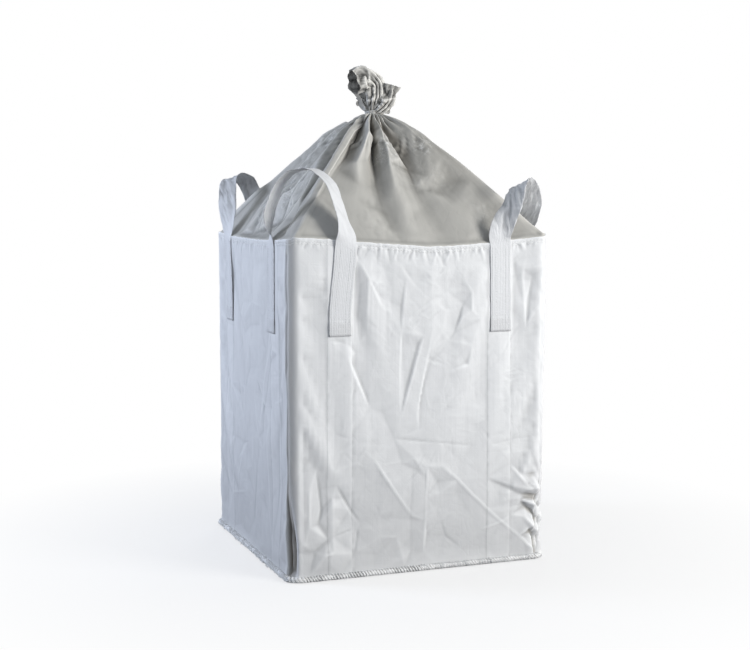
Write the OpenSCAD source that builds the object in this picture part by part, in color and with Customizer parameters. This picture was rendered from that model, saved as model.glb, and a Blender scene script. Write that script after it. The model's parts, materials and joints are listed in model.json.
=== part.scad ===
// Bulk bag: a seamless woven tube closed by a sewn-in base, with four cross-corner
// lift loops and a duffle top that is gathered and tied at its neck.
// Origin: centre of the base, on the ground. +X runs along the front face, the front
// face looks along -Y, and +Z is up. Millimetres throughout.

/* [Bag] */
// Width of the bag across its front face
bag_w = 900; // [760:10:1100]
// Depth of the bag from front to rear
bag_d = 900; // [760:10:1100]
// Height of the rim above the ground
bag_h = 1100; // [700:10:1600]
// Radius of the soft upright corners
corner_r = 45; // [20:5:70]
// Thickness of one fabric wall
fabric_t = 1; // [0.8:0.1:2]

/* [Seams] */
// Height of the hem at the rim, which is folded inwards
hem_h = 24; // [20:1:40]
// Thickness the fold adds inside the wall
hem_t = 1.2; // [0.8:0.1:2]
// Width of the seam lip around the base
lip_w = 12; // [8:1:20]
// Width of a line of stitching
thread_w = 1.6; // [1:0.1:2.5]
// How far a line of stitching stands out
thread_t = 0.8; // [0.6:0.1:1.5]
// Side of the square filler cord inside the base seam
filler_w = 3; // [2:0.5:5]

/* [Lift loops] */
// Width of the loop webbing
web_w = 75; // [60:1:90]
// Thickness of the loop webbing
web_t = 3; // [2:0.5:4]
// Distance from a corner to the middle of each leg
leg_inset = 170; // [140:5:200]
// Length of each leg that is sewn to the wall
leg_l = 310; // [200:10:400]
// Height of the crown of a loop above the rim
loop_h = 235; // [225:5:320]
// Height over which the webbing turns from the wall's direction to the loop's
flex_h = 96; // [70:2:98]

/* [Duffle top] */
// Height of the tied neck above the rim
neck_rise = 430; // [350:10:520]
// Radius of the gathered neck, under the tie
neck_r = 24; // [22:1:30]
// Radius of the gathered core that the tie grips
core_r = 20; // [16:1:21]
// Height of the tuft above the tie
tuft_h = 155; // [110:5:200]
// Radius of the open mouth of the tuft
tuft_r = 88; // [60:2:95]
// Wall of the crumpled tuft
tuft_t = 3; // [2:0.5:4]

/* [Tie] */
// Diameter of the tie cord
cord_d = 9; // [6:0.5:10]
// Width of each loose tail
tail_w = 16; // [10:1:20]
// Thickness of each loose tail
tail_t = 1.2; // [1:0.1:2]
// Length of each loose tail
tail_l = 75; // [50:5:90]
// Angle each tail leans outwards from upright
tail_lean = 32; // [30:1:45]

/* [Hidden] */
$fn = 64;

gap = 0.2;                                  // clearance between neighbouring soft pieces
over = 1;                                   // how far a cutting shape runs past what it cuts
leg_off = thread_t + gap + web_t / 2;       // wall face to the middle of a leg's thickness
root_a = (leg_inset + leg_off) / sqrt(2);   // loop centre plane to each leg's middle
root_in = (leg_inset - leg_off) / 2;        // how far the loop's centre sits in from each wall
arch_z = loop_h - web_t / 2 - root_a;       // height of the crown's centre above the rim
neck_z = bag_h + neck_rise;                 // height of the tie
cord_r = cord_d / 2;
cord_pitch = cord_d + 2 * gap;              // spacing of the two turns of cord
skirt_top = neck_z - cord_pitch / 2 - cord_r - 2 * gap; // where the skirt ends, under the tie
skirt_in = fabric_t + hem_t + gap;          // the skirt is sewn in behind the hem
skirt_w = bag_w - 2 * skirt_in;
skirt_d = bag_d - 2 * skirt_in;
skirt_run = skirt_d / 2 - neck_r;           // run and rise of the skirt's rear slope
skirt_rise = skirt_top - bag_h;
skirt_slope = atan2(skirt_rise, skirt_run);
skirt_len = norm([skirt_run, skirt_rise]);
stem_r = 10;                                // tuft's stem, where it leaves the core
stem_z = 17;
knot_r = 9;
knot_y = core_r + gap + cord_d + knot_r + gap; // the knot sits behind the turns of cord
hem_rows = [9, 17];                         // lines of stitching, down from the rim
leg_rows = [7, 20];                         // lines of stitching, in from a leg's edges
leg_bars = [8, 24, 40];                     // cross bars of stitching, up from a leg's foot
row_in = 8;                                 // stitching stops this far short of a leg's ends

WHITE = [0.90, 0.91, 0.93];
CREAM = [0.66, 0.65, 0.62];
THREAD = [0.96, 0.96, 0.95];

// A square of width w and depth d whose corners have radius r
module soft_square(w, d, r) {
    square([w - 2 * r, d], center = true);
    square([w, d - 2 * r], center = true);
    for (x = [-1, 1], y = [-1, 1])
        translate([x * (w / 2 - r), y * (d / 2 - r)]) circle(r);
}

// A flat band that follows the wall's outline, from `inner` to `outer` outside the wall's face
module outline_band(inner, outer, h) {
    linear_extrude(h) difference() {
        soft_square(bag_w + 2 * outer, bag_d + 2 * outer, corner_r + outer);
        soft_square(bag_w + 2 * inner, bag_d + 2 * inner, corner_r + inner);
    }
}

module slab(w, d, r, z, h) {
    translate([0, 0, z]) linear_extrude(h) soft_square(w, d, r);
}

// Places a loop's parts: x runs between its two legs, y points out of the corner, z = 0 at the rim
module at_corner(sx, sy) {
    translate([sx * (bag_w / 2 - root_in), sy * (bag_d / 2 - root_in), bag_h])
        rotate(atan2(sy, sx) - 90) children();
}

module both_legs() {
    children();
    mirror([1, 0, 0]) children();
}

module body_tube() {
    color(WHITE) {
        translate([0, 0, fabric_t]) outline_band(-fabric_t, lip_w, fabric_t);
        translate([0, 0, 2 * fabric_t]) outline_band(-fabric_t, 0, bag_h - 2 * fabric_t);
        translate([0, 0, bag_h - hem_h]) outline_band(-fabric_t - hem_t, 0, hem_h);
    }
}

module base_panel() {
    color(WHITE) slab(bag_w + 2 * lip_w, bag_d + 2 * lip_w, corner_r + lip_w, 0, fabric_t);
}

// Lies inside the wall, on the base, where it packs the seam against dust
module filler_cord() {
    color(THREAD) translate([0, 0, fabric_t])
        outline_band(-fabric_t - gap - filler_w, -fabric_t - gap, filler_w);
}

module base_seam_thread() {
    color(THREAD) translate([0, 0, 2 * fabric_t])
        outline_band((lip_w - thread_w) / 2, (lip_w + thread_w) / 2, thread_t);
}

module hem_thread() {
    color(THREAD) for (down = hem_rows)
        translate([0, 0, bag_h - down]) outline_band(0, thread_t, thread_w);
}

// One solid of the skirt: its lower band inside the hem, and its slopes up to the neck
module skirt_block(inset, z_low, r_neck, z_rim, z_top) {
    hull() {
        slab(skirt_w - 2 * inset, skirt_d - 2 * inset, corner_r - skirt_in - inset,
             z_low, z_rim - z_low, $fn = 32);
        translate([0, 0, z_top - over]) cylinder(h = over, r = r_neck, $fn = 32);
    }
}

module duffle_skirt() {
    band_z = bag_h - hem_h;
    lower = fabric_t * (1 / cos(skirt_slope) - tan(skirt_slope)); // keeps the slopes fabric_t thick
    color(CREAM) difference() {
        skirt_block(0, band_z, neck_r, bag_h, skirt_top);
        skirt_block(fabric_t, band_z - over, neck_r - fabric_t, bag_h - lower, skirt_top - lower);
        translate([0, 0, skirt_top - 2 * over]) cylinder(h = 4 * over, r = neck_r - fabric_t);
    }
}

// A straight strip on the skirt's rear slope, `from` to `to` along the slope and `up` above it
module on_rear_slope(x, w, from, to, up, t) {
    translate([x - w / 2, skirt_d / 2, bag_h]) rotate([-skirt_slope, 0, 0]) {
        translate([0, -to, up]) cube([w, to - from, t]);
    }
}

module skirt_lap_thread() {
    color(THREAD) on_rear_slope(0, thread_w, 20, skirt_len - 60, gap, thread_t);
}

// The gathered core inside the tie, and the crumpled tuft that flares above it
module duffle_tuft() {
    flare = (tuft_r - stem_r) / (tuft_h - stem_z);
    cup_z = stem_z + 30;                    // floor of the hollow inside the tuft
    color(CREAM) translate([0, 0, neck_z]) {
        sphere(core_r);
        difference() {
            translate([0, 0, stem_z - over]) cylinder(h = tuft_h - stem_z + over, r1 = stem_r, r2 = tuft_r);
            translate([0, 0, cup_z])
                cylinder(h = tuft_h - cup_z + over,
                         r1 = stem_r + flare * (cup_z - stem_z) - tuft_t, r2 = tuft_r - tuft_t);
        }
    }
}

module tie_cord() {
    color(WHITE) for (turn = [-1, 1])
        translate([0, 0, neck_z + turn * cord_pitch / 2])
            rotate_extrude() translate([core_r + gap + cord_r, 0]) circle(cord_r, $fn = 32);
}

module tie_knot() {
    color(WHITE) translate([0, knot_y, neck_z]) sphere(knot_r);
}

// A loose end of the tie, which leaves the upper turn of cord beside the tuft
module tie_tail(side) {
    foot_x = core_r + gap + cord_d;
    foot_z = neck_z + cord_pitch / 2 + cord_r + tail_t;
    color(WHITE) translate([side * foot_x, 0, foot_z]) rotate([0, side * tail_lean, 0])
        translate([-tail_t / 2, -tail_w / 2, 0]) cube([tail_t, tail_w, tail_l]);
}

// The free part of a loop: two uprights and a round crown
module loop_arch(sx, sy) {
    color(WHITE) at_corner(sx, sy) {
        both_legs() translate([root_a - web_t / 2, -web_w / 2, flex_h])
            cube([web_t, web_w, arch_z - flex_h]);
        translate([0, 0, arch_z]) rotate([90, 0, 0])
            rotate_extrude(angle = 180) translate([root_a - web_t / 2, -web_w / 2]) square([web_t, web_w]);
    }
}

// The webbing just above the rim, which turns from the wall's direction to the loop's as it bends
module loop_flex(sx, sy) {
    color(WHITE) at_corner(sx, sy) both_legs()
        translate([root_a, 0, 0]) rotate(-45)
            linear_extrude(flex_h - gap, twist = 45, slices = 8, $fn = 8)
                square([web_w, web_t], center = true);
}

// The two ends of a loop that are sewn flat to the walls beside its corner
module loop_legs(sx, sy) {
    color(WHITE) at_corner(sx, sy) both_legs()
        translate([root_a, 0, -leg_l]) rotate(-45)
            translate([-web_w / 2, -web_t / 2, 0]) cube([web_w, web_t, leg_l - gap]);
}

// Rows and cross bars of stitching on the outer face of both legs
module leg_thread(sx, sy) {
    color(THREAD) at_corner(sx, sy) both_legs()
        translate([root_a, 0, -leg_l]) rotate(-45) translate([0, web_t / 2, 0]) {
            for (side = [-1, 1], in = leg_rows)
                translate([side * (web_w / 2 - in) - thread_w / 2, 0, row_in])
                    cube([thread_w, thread_t, leg_l - 2 * row_in]);
            for (up = leg_bars)
                translate([-web_w / 2 + leg_rows[0], 0, up])
                    cube([web_w - 2 * leg_rows[0], thread_t, thread_w]);
        }
}

body_tube();
base_panel();
filler_cord();
base_seam_thread();
hem_thread();
duffle_skirt();
skirt_lap_thread();
duffle_tuft();
tie_cord();
tie_knot();
tie_tail(-1);  // tie_tail_left
tie_tail(1);  // tie_tail_right
loop_arch(-1, -1);  // loop_front_left
loop_arch(1, -1);  // loop_front_right
loop_arch(-1, 1);  // loop_rear_left
loop_arch(1, 1);  // loop_rear_right
loop_flex(-1, -1);  // loop_flex_front_left
loop_flex(1, -1);  // loop_flex_front_right
loop_flex(-1, 1);  // loop_flex_rear_left
loop_flex(1, 1);  // loop_flex_rear_right
loop_legs(-1, -1);  // loop_legs_front_left
loop_legs(1, -1);  // loop_legs_front_right
loop_legs(-1, 1);  // loop_legs_rear_left
loop_legs(1, 1);  // loop_legs_rear_right
leg_thread(-1, -1);  // leg_thread_front_left
leg_thread(1, -1);  // leg_thread_front_right
leg_thread(-1, 1);  // leg_thread_rear_left
leg_thread(1, 1);  // leg_thread_rear_right
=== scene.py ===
import bpy
import json
import math
import numpy as np
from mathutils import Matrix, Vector
from mathutils.bvhtree import BVHTree
from mathutils.geometry import delaunay_2d_cdt


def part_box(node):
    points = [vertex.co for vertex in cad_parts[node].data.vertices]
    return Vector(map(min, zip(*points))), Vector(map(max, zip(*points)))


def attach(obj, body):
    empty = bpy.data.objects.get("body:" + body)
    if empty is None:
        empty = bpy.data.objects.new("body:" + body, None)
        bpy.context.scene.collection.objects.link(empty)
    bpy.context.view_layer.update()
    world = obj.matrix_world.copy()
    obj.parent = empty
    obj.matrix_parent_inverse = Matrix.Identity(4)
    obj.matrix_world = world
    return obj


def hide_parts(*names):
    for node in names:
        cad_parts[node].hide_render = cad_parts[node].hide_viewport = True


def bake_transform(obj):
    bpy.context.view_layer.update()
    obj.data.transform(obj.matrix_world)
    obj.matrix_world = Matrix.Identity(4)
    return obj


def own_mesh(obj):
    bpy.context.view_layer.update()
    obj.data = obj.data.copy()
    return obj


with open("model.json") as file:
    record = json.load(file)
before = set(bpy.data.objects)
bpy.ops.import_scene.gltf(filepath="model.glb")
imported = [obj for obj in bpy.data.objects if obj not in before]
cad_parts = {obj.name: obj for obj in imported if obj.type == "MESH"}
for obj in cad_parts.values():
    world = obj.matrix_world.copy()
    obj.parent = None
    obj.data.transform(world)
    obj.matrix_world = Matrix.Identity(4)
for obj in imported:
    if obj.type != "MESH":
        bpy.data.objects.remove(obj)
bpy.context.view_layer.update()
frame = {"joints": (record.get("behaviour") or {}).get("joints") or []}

# ---------------------------------------------------------------- sizes in metres, from the CAD frame
CORNERS = {"front_left": (-1, -1), "front_right": (1, -1), "rear_left": (-1, 1), "rear_right": (1, 1)}
PIVOT = {j["name"]: Vector(j["pos_m"]) for j in frame["joints"] if "pos_m" in j}
LIP = 0.012                                    # how far the seam lip stands out past the wall
tube_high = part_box("body_tube")[1]
RIM = tube_high.z
WALL = tube_high.x - LIP                       # the wall's face, from the centre plane
C_IN = abs(PIVOT["loop_swing_front_left"].x)   # loop centre, from the centre planes
TIE = PIVOT["tuft_flop"].z
LEG_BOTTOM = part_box("loop_legs_front_left")[0].z
LEG_A = 2 * C_IN - WALL                        # middle of each leg, from its face's middle
WEB, WEB_THICK, RIBS = 0.075, 0.0024, 13       # the webbing: width, thickness, ribs across it
WEB_GAP = 0.0022                               # from the wall to the middle of the webbing
CORNER = 0.038                                 # radius of the soft corners
CHAMFER = 0.0223                               # how far the near left corner is cut along each face
CUT_BEND = 0.004                               # over this length the wall turns into that cut
QUARTER = 2 * (WALL - CORNER) + math.pi * CORNER / 2
PERIMETER = 4 * QUARTER
ALONG = np.array([(1, 0), (0, 1), (-1, 0), (0, -1)], float)    # front, right, rear, left
OUT = np.array([(0, -1), (1, 0), (0, 1), (-1, 0)], float)
DIAGONAL = np.array([(1, -1), (1, 1), (-1, 1), (-1, -1)], float) / math.sqrt(2)    # after each of those faces
FRONT, RIGHT, REAR, LEFT = 0, 1, 2, 3
UP = np.array([0, 0, 1.0])


# ---------------------------------------------------------------- small tools
def smooth(x, a, b):
    """Goes softly from 0 at a to 1 at b."""
    t = np.clip((np.asarray(x, float) - a) / (b - a), 0, 1)
    return t * t * (3 - 2 * t)


def bump(x, centre, width):
    """1 at the centre, fading out on both sides."""
    return np.exp(-((np.asarray(x, float) - centre) / width) ** 2)


def unit(v):
    return v / (np.linalg.norm(v, axis=-1, keepdims=True) + 1e-12)


def angles(count):
    return np.arange(count) * 2 * math.pi / count


def lengths(path):
    """Length along a path at each of its points."""
    return np.r_[0, np.cumsum(np.linalg.norm(np.diff(path, axis=0), axis=1))]


def rolled(grid, reach, axis):
    """Running mean over reach places to each side, along a closed axis."""
    return sum(np.roll(grid, i, axis) for i in range(-reach, reach + 1)) / (2 * reach + 1)


def spread_out(values, count):
    """Straight lines between the values, sampled at count even places."""
    return np.interp(np.linspace(0, len(values) - 1, count), np.arange(len(values)), values)


def hash_name(name):
    return sum((i + 3) * ord(c) for i, c in enumerate(name))


def make_mesh(name, verts, faces, uvs=None, **attributes):
    """A smooth mesh object, with an optional UV and any named values for each vertex."""
    mesh = bpy.data.meshes.new(name)
    mesh.from_pydata(np.asarray(verts, float).reshape(-1, 3).tolist(), [], faces)
    mesh.update()
    if uvs is not None:
        index = np.zeros(len(mesh.loops), np.int32)
        mesh.loops.foreach_get("vertex_index", index)
        corner_uvs = np.asarray(uvs, np.float32).reshape(-1, 2)[index]
        mesh.uv_layers.new(name="UVMap").data.foreach_set("uv", corner_uvs.ravel())
    mesh.polygons.foreach_set("use_smooth", [True] * len(mesh.polygons))
    for key, values in attributes.items():
        data = mesh.attributes.new(key, "FLOAT", "POINT").data
        data.foreach_set("value", np.asarray(values, np.float32).ravel())
    obj = bpy.data.objects.new(name, mesh)
    bpy.context.scene.collection.objects.link(obj)
    return obj


def grid_faces(rows, cols, wrap_rows=False):
    """Quads of a grid closed along its columns. A vertex's index is row * cols + column."""
    r, c = np.meshgrid(np.arange(rows if wrap_rows else rows - 1), np.arange(cols), indexing="ij")
    r2, c2 = (r + 1) % rows, (c + 1) % cols
    return np.stack([r * cols + c, r * cols + c2, r2 * cols + c2, r2 * cols + c], -1).reshape(-1, 4).tolist()


def tube_faces(rows, cols):
    """The same quads, with both ends closed."""
    return grid_faces(rows, cols) + [list(range(cols))[::-1], list(range((rows - 1) * cols, rows * cols))]


def grid_uv(across, along):
    """UVs of a grid, from one value per column and one per row."""
    return np.stack(np.meshgrid(across, along), -1)


def grid_normals(grid):
    return unit(np.cross(np.roll(grid, -1, 1) - np.roll(grid, 1, 1), np.gradient(grid, axis=0)))


def relief(grid, reach):
    """How far each point of a grid, closed along its columns, stands out from its surroundings."""
    mean = grid
    for _ in range(2):
        mean = rolled(mean, reach, 1)
        low = 2 * mean[:1] - mean[reach:0:-1]
        high = 2 * mean[-1:] - mean[-2:-reach - 2:-1]
        tall = np.concatenate([low, mean, high])
        mean = sum(tall[i:i + len(grid)] for i in range(2 * reach + 1)) / (2 * reach + 1)
    return np.sum((grid - mean) * grid_normals(grid), -1)


def lattice(x, y, cell, size, rng, skew=0.0):
    """Random values of -1 to 1 at the four lattice points round each place, and its place among them."""
    table = rng.uniform(-1, 1, (size, size))
    gy = np.asarray(y) / cell
    gx = np.asarray(x) / cell + skew * gy
    ix, iy = np.floor(gx).astype(int), np.floor(gy).astype(int)
    found = [table[(ix + i) % size, (iy + j) % size] for i, j in ((0, 0), (1, 0), (0, 1), (1, 1))]
    return (*found, gx - ix, gy - iy)


def value_noise(x, y, cell, rng):
    """Smooth random field of about -1 to 1 with the given cell size."""
    a, b, c, d, fx, fy = lattice(x, y, cell, 64, rng)
    fx, fy = fx * fx * (3 - 2 * fx), fy * fy * (3 - 2 * fy)
    return (a * (1 - fx) + b * fx) * (1 - fy) + (c * (1 - fx) + d * fx) * fy


def line_noise(s, cell, rng):
    return value_noise(s, s * 0, cell, rng)


def facet_noise(x, y, cell, rng):
    """Random plane facets of about -1 to 1: a triangulated noise, so its folds stay sharp."""
    a, b, c, d, fx, fy = lattice(x, y, cell, 97, rng, skew=0.5)
    lower = a + (b - a) * fx + (c - a) * fy
    upper = d + (c - d) * (1 - fx) + (b - d) * (1 - fy)
    return np.where(fx + fy < 1, lower, upper)


# ---------------------------------------------------------------- hanging cloth
SIM_FRAMES, SIM_STIFF = 14, 12.0
COARSE = 4                                     # columns of the fine cloth to each column of the simulated one


def settle(grid, pin, grow, cap, bend):
    """Lets a closed band of cloth (rows x cols x 3) hang and buckle, and returns how far each point moves."""
    obj = make_mesh("settling_cloth", grid, grid_faces(*grid.shape[:2]))
    group = obj.vertex_groups.new(name="pin")
    for i, weight in enumerate(np.clip(pin, 0, 1).ravel()):
        if weight > 0.001:
            group.add([i], float(weight), "REPLACE")
    mod = obj.modifiers.new("cloth", "CLOTH")
    for key, value in dict(
            quality=6, mass=0.25, tension_stiffness=SIM_STIFF, compression_stiffness=SIM_STIFF,
            shear_stiffness=SIM_STIFF / 2, bending_stiffness=bend, tension_damping=8, compression_damping=8,
            air_damping=3, vertex_group_mass="pin", pin_stiffness=1.0, shrink_min=-grow).items():
        setattr(mod.settings, key, value)
    mod.collision_settings.use_collision = False
    mod.point_cache.frame_end = SIM_FRAMES
    for f in range(1, SIM_FRAMES + 1):
        bpy.context.scene.frame_set(f)
    moved = np.zeros(grid.size, np.float32)
    shape = obj.evaluated_get(bpy.context.evaluated_depsgraph_get())
    shape.data.vertices.foreach_get("co", moved)
    bpy.context.scene.frame_set(1)
    mesh = obj.data
    bpy.data.objects.remove(obj)
    bpy.data.meshes.remove(mesh)
    move = np.nan_to_num(moved.reshape(grid.shape).astype(float) - grid)
    return move * np.minimum(1, cap / np.maximum(np.linalg.norm(move, axis=-1, keepdims=True), 1e-9))


def sagged(xyz, picked, pin, fade, **cloth):
    """The grid, carried along by a coarse copy of it (the picked rows) that settles."""
    rows, cols = xyz.shape[:2]
    move = settle(xyz[picked][:, ::COARSE], pin, **cloth) * fade
    c = np.arange(cols) // COARSE
    part = (np.arange(cols) / COARSE - c)[None, :, None]
    move = move[:, c] * (1 - part) + move[:, (c + 1) % move.shape[1]] * part
    at = np.interp(np.arange(rows), picked, np.arange(len(picked)))
    r = np.clip(np.floor(at).astype(int), 0, len(picked) - 2)
    part = (at - r)[:, None, None]
    return xyz + (move[r] * (1 - part) + move[r + 1] * part)


# ---------------------------------------------------------------- the wall's outline
def outline(s):
    """Arc length s, anticlockwise from the front's middle -> face, distance along it, xy point, xy normal."""
    shifted = np.asarray(s, float) + QUARTER / 2
    face = np.floor(shifted / QUARTER).astype(int) % 4
    a = np.mod(shifted, QUARTER) - QUARTER / 2
    straight, side = WALL - CORNER, np.sign(a)
    past = np.abs(a) - straight                # along the corner's arc, which ends at its middle
    t = np.clip(past / CORNER, 0, math.pi / 4)
    along = np.where(past > 0, straight + CORNER * np.sin(t), np.abs(a))
    out = np.where(past > 0, straight + CORNER * np.cos(t), WALL)
    # the left side of the near left corner is creased flat instead of rounded
    flat = (face == LEFT) & (a > 0)
    cut = CORNER - CHAMFER
    slide = np.maximum(past - cut, 0) / (math.pi * CORNER / 4 - cut) * CHAMFER / 2
    along = np.where(flat, straight + np.minimum(past, cut) + slide, along)
    out = np.where(flat, WALL - slide, out)
    t = np.where(flat, np.clip((past - cut) / CUT_BEND, 0, 1) * math.pi / 4, t)
    point = (side * along)[:, None] * ALONG[face] + out[:, None] * OUT[face]
    normal = (side * np.sin(t))[:, None] * ALONG[face] + np.cos(t)[:, None] * OUT[face]
    return face, a, point, normal


def round_wall(count):
    """Even places round the wall: arc length, then what outline gives for it."""
    s = np.arange(count) * PERIMETER / count
    return (s, *outline(s))


# Height of the rim along each face, from the face's middle to its ends: it sags between the corners
RIM_A = np.array([-0.455, -0.37, -0.31, -0.22, -0.08, 0.01, 0.10, 0.18, 0.25, 0.34, 0.43, 0.455])
RIM_Z = {
    FRONT: np.array([8, 4, 0, -9, -19, -26, -25, -21, -17, -7, 2, 14]) / 1000,
    LEFT: np.array([6, 2, -2, -6, -8, -9, -9, -8, -6, -3, 2, 6]) / 1000,
    RIGHT: np.array([14, 3, -6, -14, -20, -23, -22, -19, -12, -5, 1, 6]) / 1000,
    REAR: np.array([6, 0, -8, -13, -22, -20, -24, -18, -14, -4, 0, 6]) / 1000,
}


def rim_lift(face, a):
    return np.choose(face, [np.interp(a, RIM_A, RIM_Z[k]) for k in range(4)])


# ---------------------------------------------------------------- creases of the wall
# Each crease is a broken line on one face: (along, height above the ground, how far it stands out), in
# millimetres.
CREASES = {
    FRONT: [
        [(-224, 1050, 6), (-185, 982, 7), (-190, 880, 6), (-190, 799, 3)], [(-185, 982, 7), (-142, 894, 4)],
        [(-214, 960, -7), (-222, 860, -8), (-215, 770, -3)], [(-146, 930, -2), (-116, 874, 2)],
        [(-46, 1002, -2), (-10, 950, 3), (25, 916, 4)], [(43, 994, 3), (125, 1031, 0)],
        [(40, 895, 5), (-27, 839, 1)], [(150, 985, 4), (178, 941, 6), (179, 875, 6), (210, 838, 2)],
        [(150, 900, -5), (118, 800, -6), (97, 772, -2)], [(41, 840, 5), (23, 735, 6), (-15, 522, 2)],
        [(5, 790, 6), (-33, 655, 7), (-72, 525, 3)], [(-14, 760, -2), (-58, 600, -3)],
        [(30, 700, -2.5), (-2, 590, -3), (-9, 470, -2)], [(-55, 999, 2), (-72, 804, 3), (-78, 575, 2)],
        [(170, 684, 3), (190, 616, -2)], [(123, 586, -3), (171, 511, 3)], [(178, 750, 4), (159, 690, -3)],
        [(290, 707, -4), (322, 760, -6), (359, 811, -3)], [(334, 1031, -4), (346, 964, -5)],
        [(365, 1000, 4), (372, 880, 3)], [(399, 973, -6), (388, 890, -7), (380, 792, -4)],
        [(319, 554, 3), (339, 502, -2)], [(-321, 785, -4), (-253, 767, -5), (-229, 739, -6)],
        [(-253, 720, 4), (-228, 655, 6), (-201, 602, 3)], [(-232, 690, -7), (-180, 560, -4)],
        [(-96, 454, -4), (-9, 441, -5), (71, 430, -4), (208, 408, -3)],
        [(251, 412, -3), (345, 424, -2), (442, 430, -2)],
        [(21, 353, 4), (17, 250, 3), (15, 169, 3), (12, 60, 2)],
        [(-30, 350, -1), (-36, 180, -1), (-34, 70, -1)],
        [(73, 350, 6), (130, 300, 7), (178, 250, 7), (235, 195, 7), (296, 140, 6), (360, 85, 5),
         (417, 40, 3)], [(-170, 393, 7), (-145, 353, 8), (-110, 300, 8), (-75, 248, 7), (-34, 192, 3)],
        [(-25, 383, 5), (17, 318, 1)], [(68, 259, 2), (127, 254, 2)], [(-145, 126, 2), (-85, 121, 2)],
        [(321, 339, 2), (362, 290, 9), (407, 236, 3)], [(397, 378, 2), (425, 300, -6)],
        [(365, 213, -8), (418, 209, -9)], [(384, 186, -12), (419, 148, -10)],
        [(216, 122, 4), (260, 132, 5), (296, 142, 5), (332, 163, 3)],
        [(-362, 364, -3), (-352, 298, -8), (-345, 232, -10), (-355, 185, -9)],
        [(-385, 300, 4), (-388, 180, 5)], [(-339, 81, 8), (-308, 88, 5)], [(-335, 95, 4), (-322, 132, -6)],
        [(-406, 123, 5), (-370, 95, -5)],
        [(-294, 313, -4), (-268, 268, -9), (-246, 229, -9), (-210, 178, -5)],
        [(-308, 141, -4), (-236, 162, -6)], [(-220, 161, -6), (-232, 80, -5)],
        [(-297, 480, -3), (-249, 461, -4)], [(60, 200, 1), (90, 110, -5), (150, 60, -2)],
        [(372, 300, 3), (400, 262, 7), (425, 240, 5)], [(368, 232, -9), (395, 226, -11), (430, 222, -8)],
        [(370, 252, 6), (400, 246, 8), (432, 250, 4)], [(392, 200, 7), (420, 190, 9), (440, 205, 5)],
        [(398, 172, -12), (416, 150, -14), (438, 138, -8)],
        [(382, 150, 4), (404, 118, 8), (425, 100, 8), (442, 84, 4)],
        [(400, 100, -6), (420, 70, -10), (440, 52, -6)], [(376, 70, 4), (410, 40, 7), (440, 26, 3)],
    ],
    LEFT: [
        [(262, 782, 3), (200, 690, 5), (145, 613, 6), (110, 463, 4)],
        [(238, 700, -4), (170, 560, -5), (140, 450, -3)], [(257, 541, -3), (148, 535, -5)],
        [(21, 409, 4), (-60, 380, -4), (-103, 370, -3)], [(-206, 379, -3), (-300, 372, 4), (-405, 363, -3)],
        [(-61, 203, 5), (-160, 180, 6), (-263, 157, 3)], [(206, 431, 7), (213, 320, 8), (213, 209, 4)],
        [(300, 460, -7), (300, 300, -8), (285, 200, -5)], [(63, 1060, -2), (78, 1022, -3)],
        [(-40, 690, 3), (-90, 560, 5), (-100, 470, 2)], [(-110, 330, 6), (-150, 250, 7), (-180, 130, 3)],
        [(60, 300, -6), (30, 200, -7), (10, 110, -4)], [(340, 880, 4), (380, 700, 5), (370, 560, 2)],
    ],
}

def random_creases(rng, count):
    """Long creases like those in the table, for a face that has few or none in it."""
    made = []
    for _ in range(count):
        a, z = rng.uniform(-380, 380), rng.uniform(90, 1000)
        turn = rng.choice([rng.normal(-1.2, 0.25), rng.normal(1.25, 0.25), rng.normal(0, 0.12)],
                          p=[0.45, 0.35, 0.2])
        length, high = rng.uniform(60, 240), rng.uniform(3, 7) * rng.choice([-1, 1])
        line = [(a + math.cos(turn) * length * f + rng.normal(0, 5), z - abs(math.sin(turn)) * length * f,
                 high * share) for f, share in ((0, 0.5), (0.5, 1), (1, 0.4))]
        if all(abs(p[0]) < 410 and 60 < p[1] < 1040 for p in line):
            made.append(line)
    return made


def fine_creases(rng, count):
    """Short sharp creases scattered in loose groups over a face."""
    made = []
    while len(made) < count:
        ga, gz = rng.uniform(-400, 400), rng.uniform(50, 1050)
        turn = rng.choice([-1.15, 1.2, -0.6, 0.7, 0.05, 1.55]) + rng.normal(0, 0.15)
        for _ in range(rng.integers(2, 6)):
            a0, z0 = ga + rng.normal(0, 28), gz + rng.normal(0, 34)
            t, length = turn + rng.normal(0, 0.22), rng.uniform(22, 95)
            h = rng.uniform(0.5, 1.5) * rng.choice([-1, 1])
            a1, z1 = a0 + math.cos(t) * length, z0 + math.sin(t) * length
            middle = ((a0 + a1) / 2 + rng.normal(0, 2.5), (z0 + z1) / 2 + rng.normal(0, 2.5), h)
            made.append([(a0, z0, h * 0.5), middle, (a1, z1, h * 0.4)])
    return made


def fold_points(lines):
    """Points, heights and edges of crease lines, in metres."""
    points, heights, edges = [], [], []
    for line in lines:
        ids = range(len(points), len(points) + len(line))
        points += [Vector((x / 1000, y / 1000)) for x, y, _ in line]
        heights += [h / 1000 for _, _, h in line]
        edges += list(zip(ids[:-1], ids[1:]))
    return points, heights, edges


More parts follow.
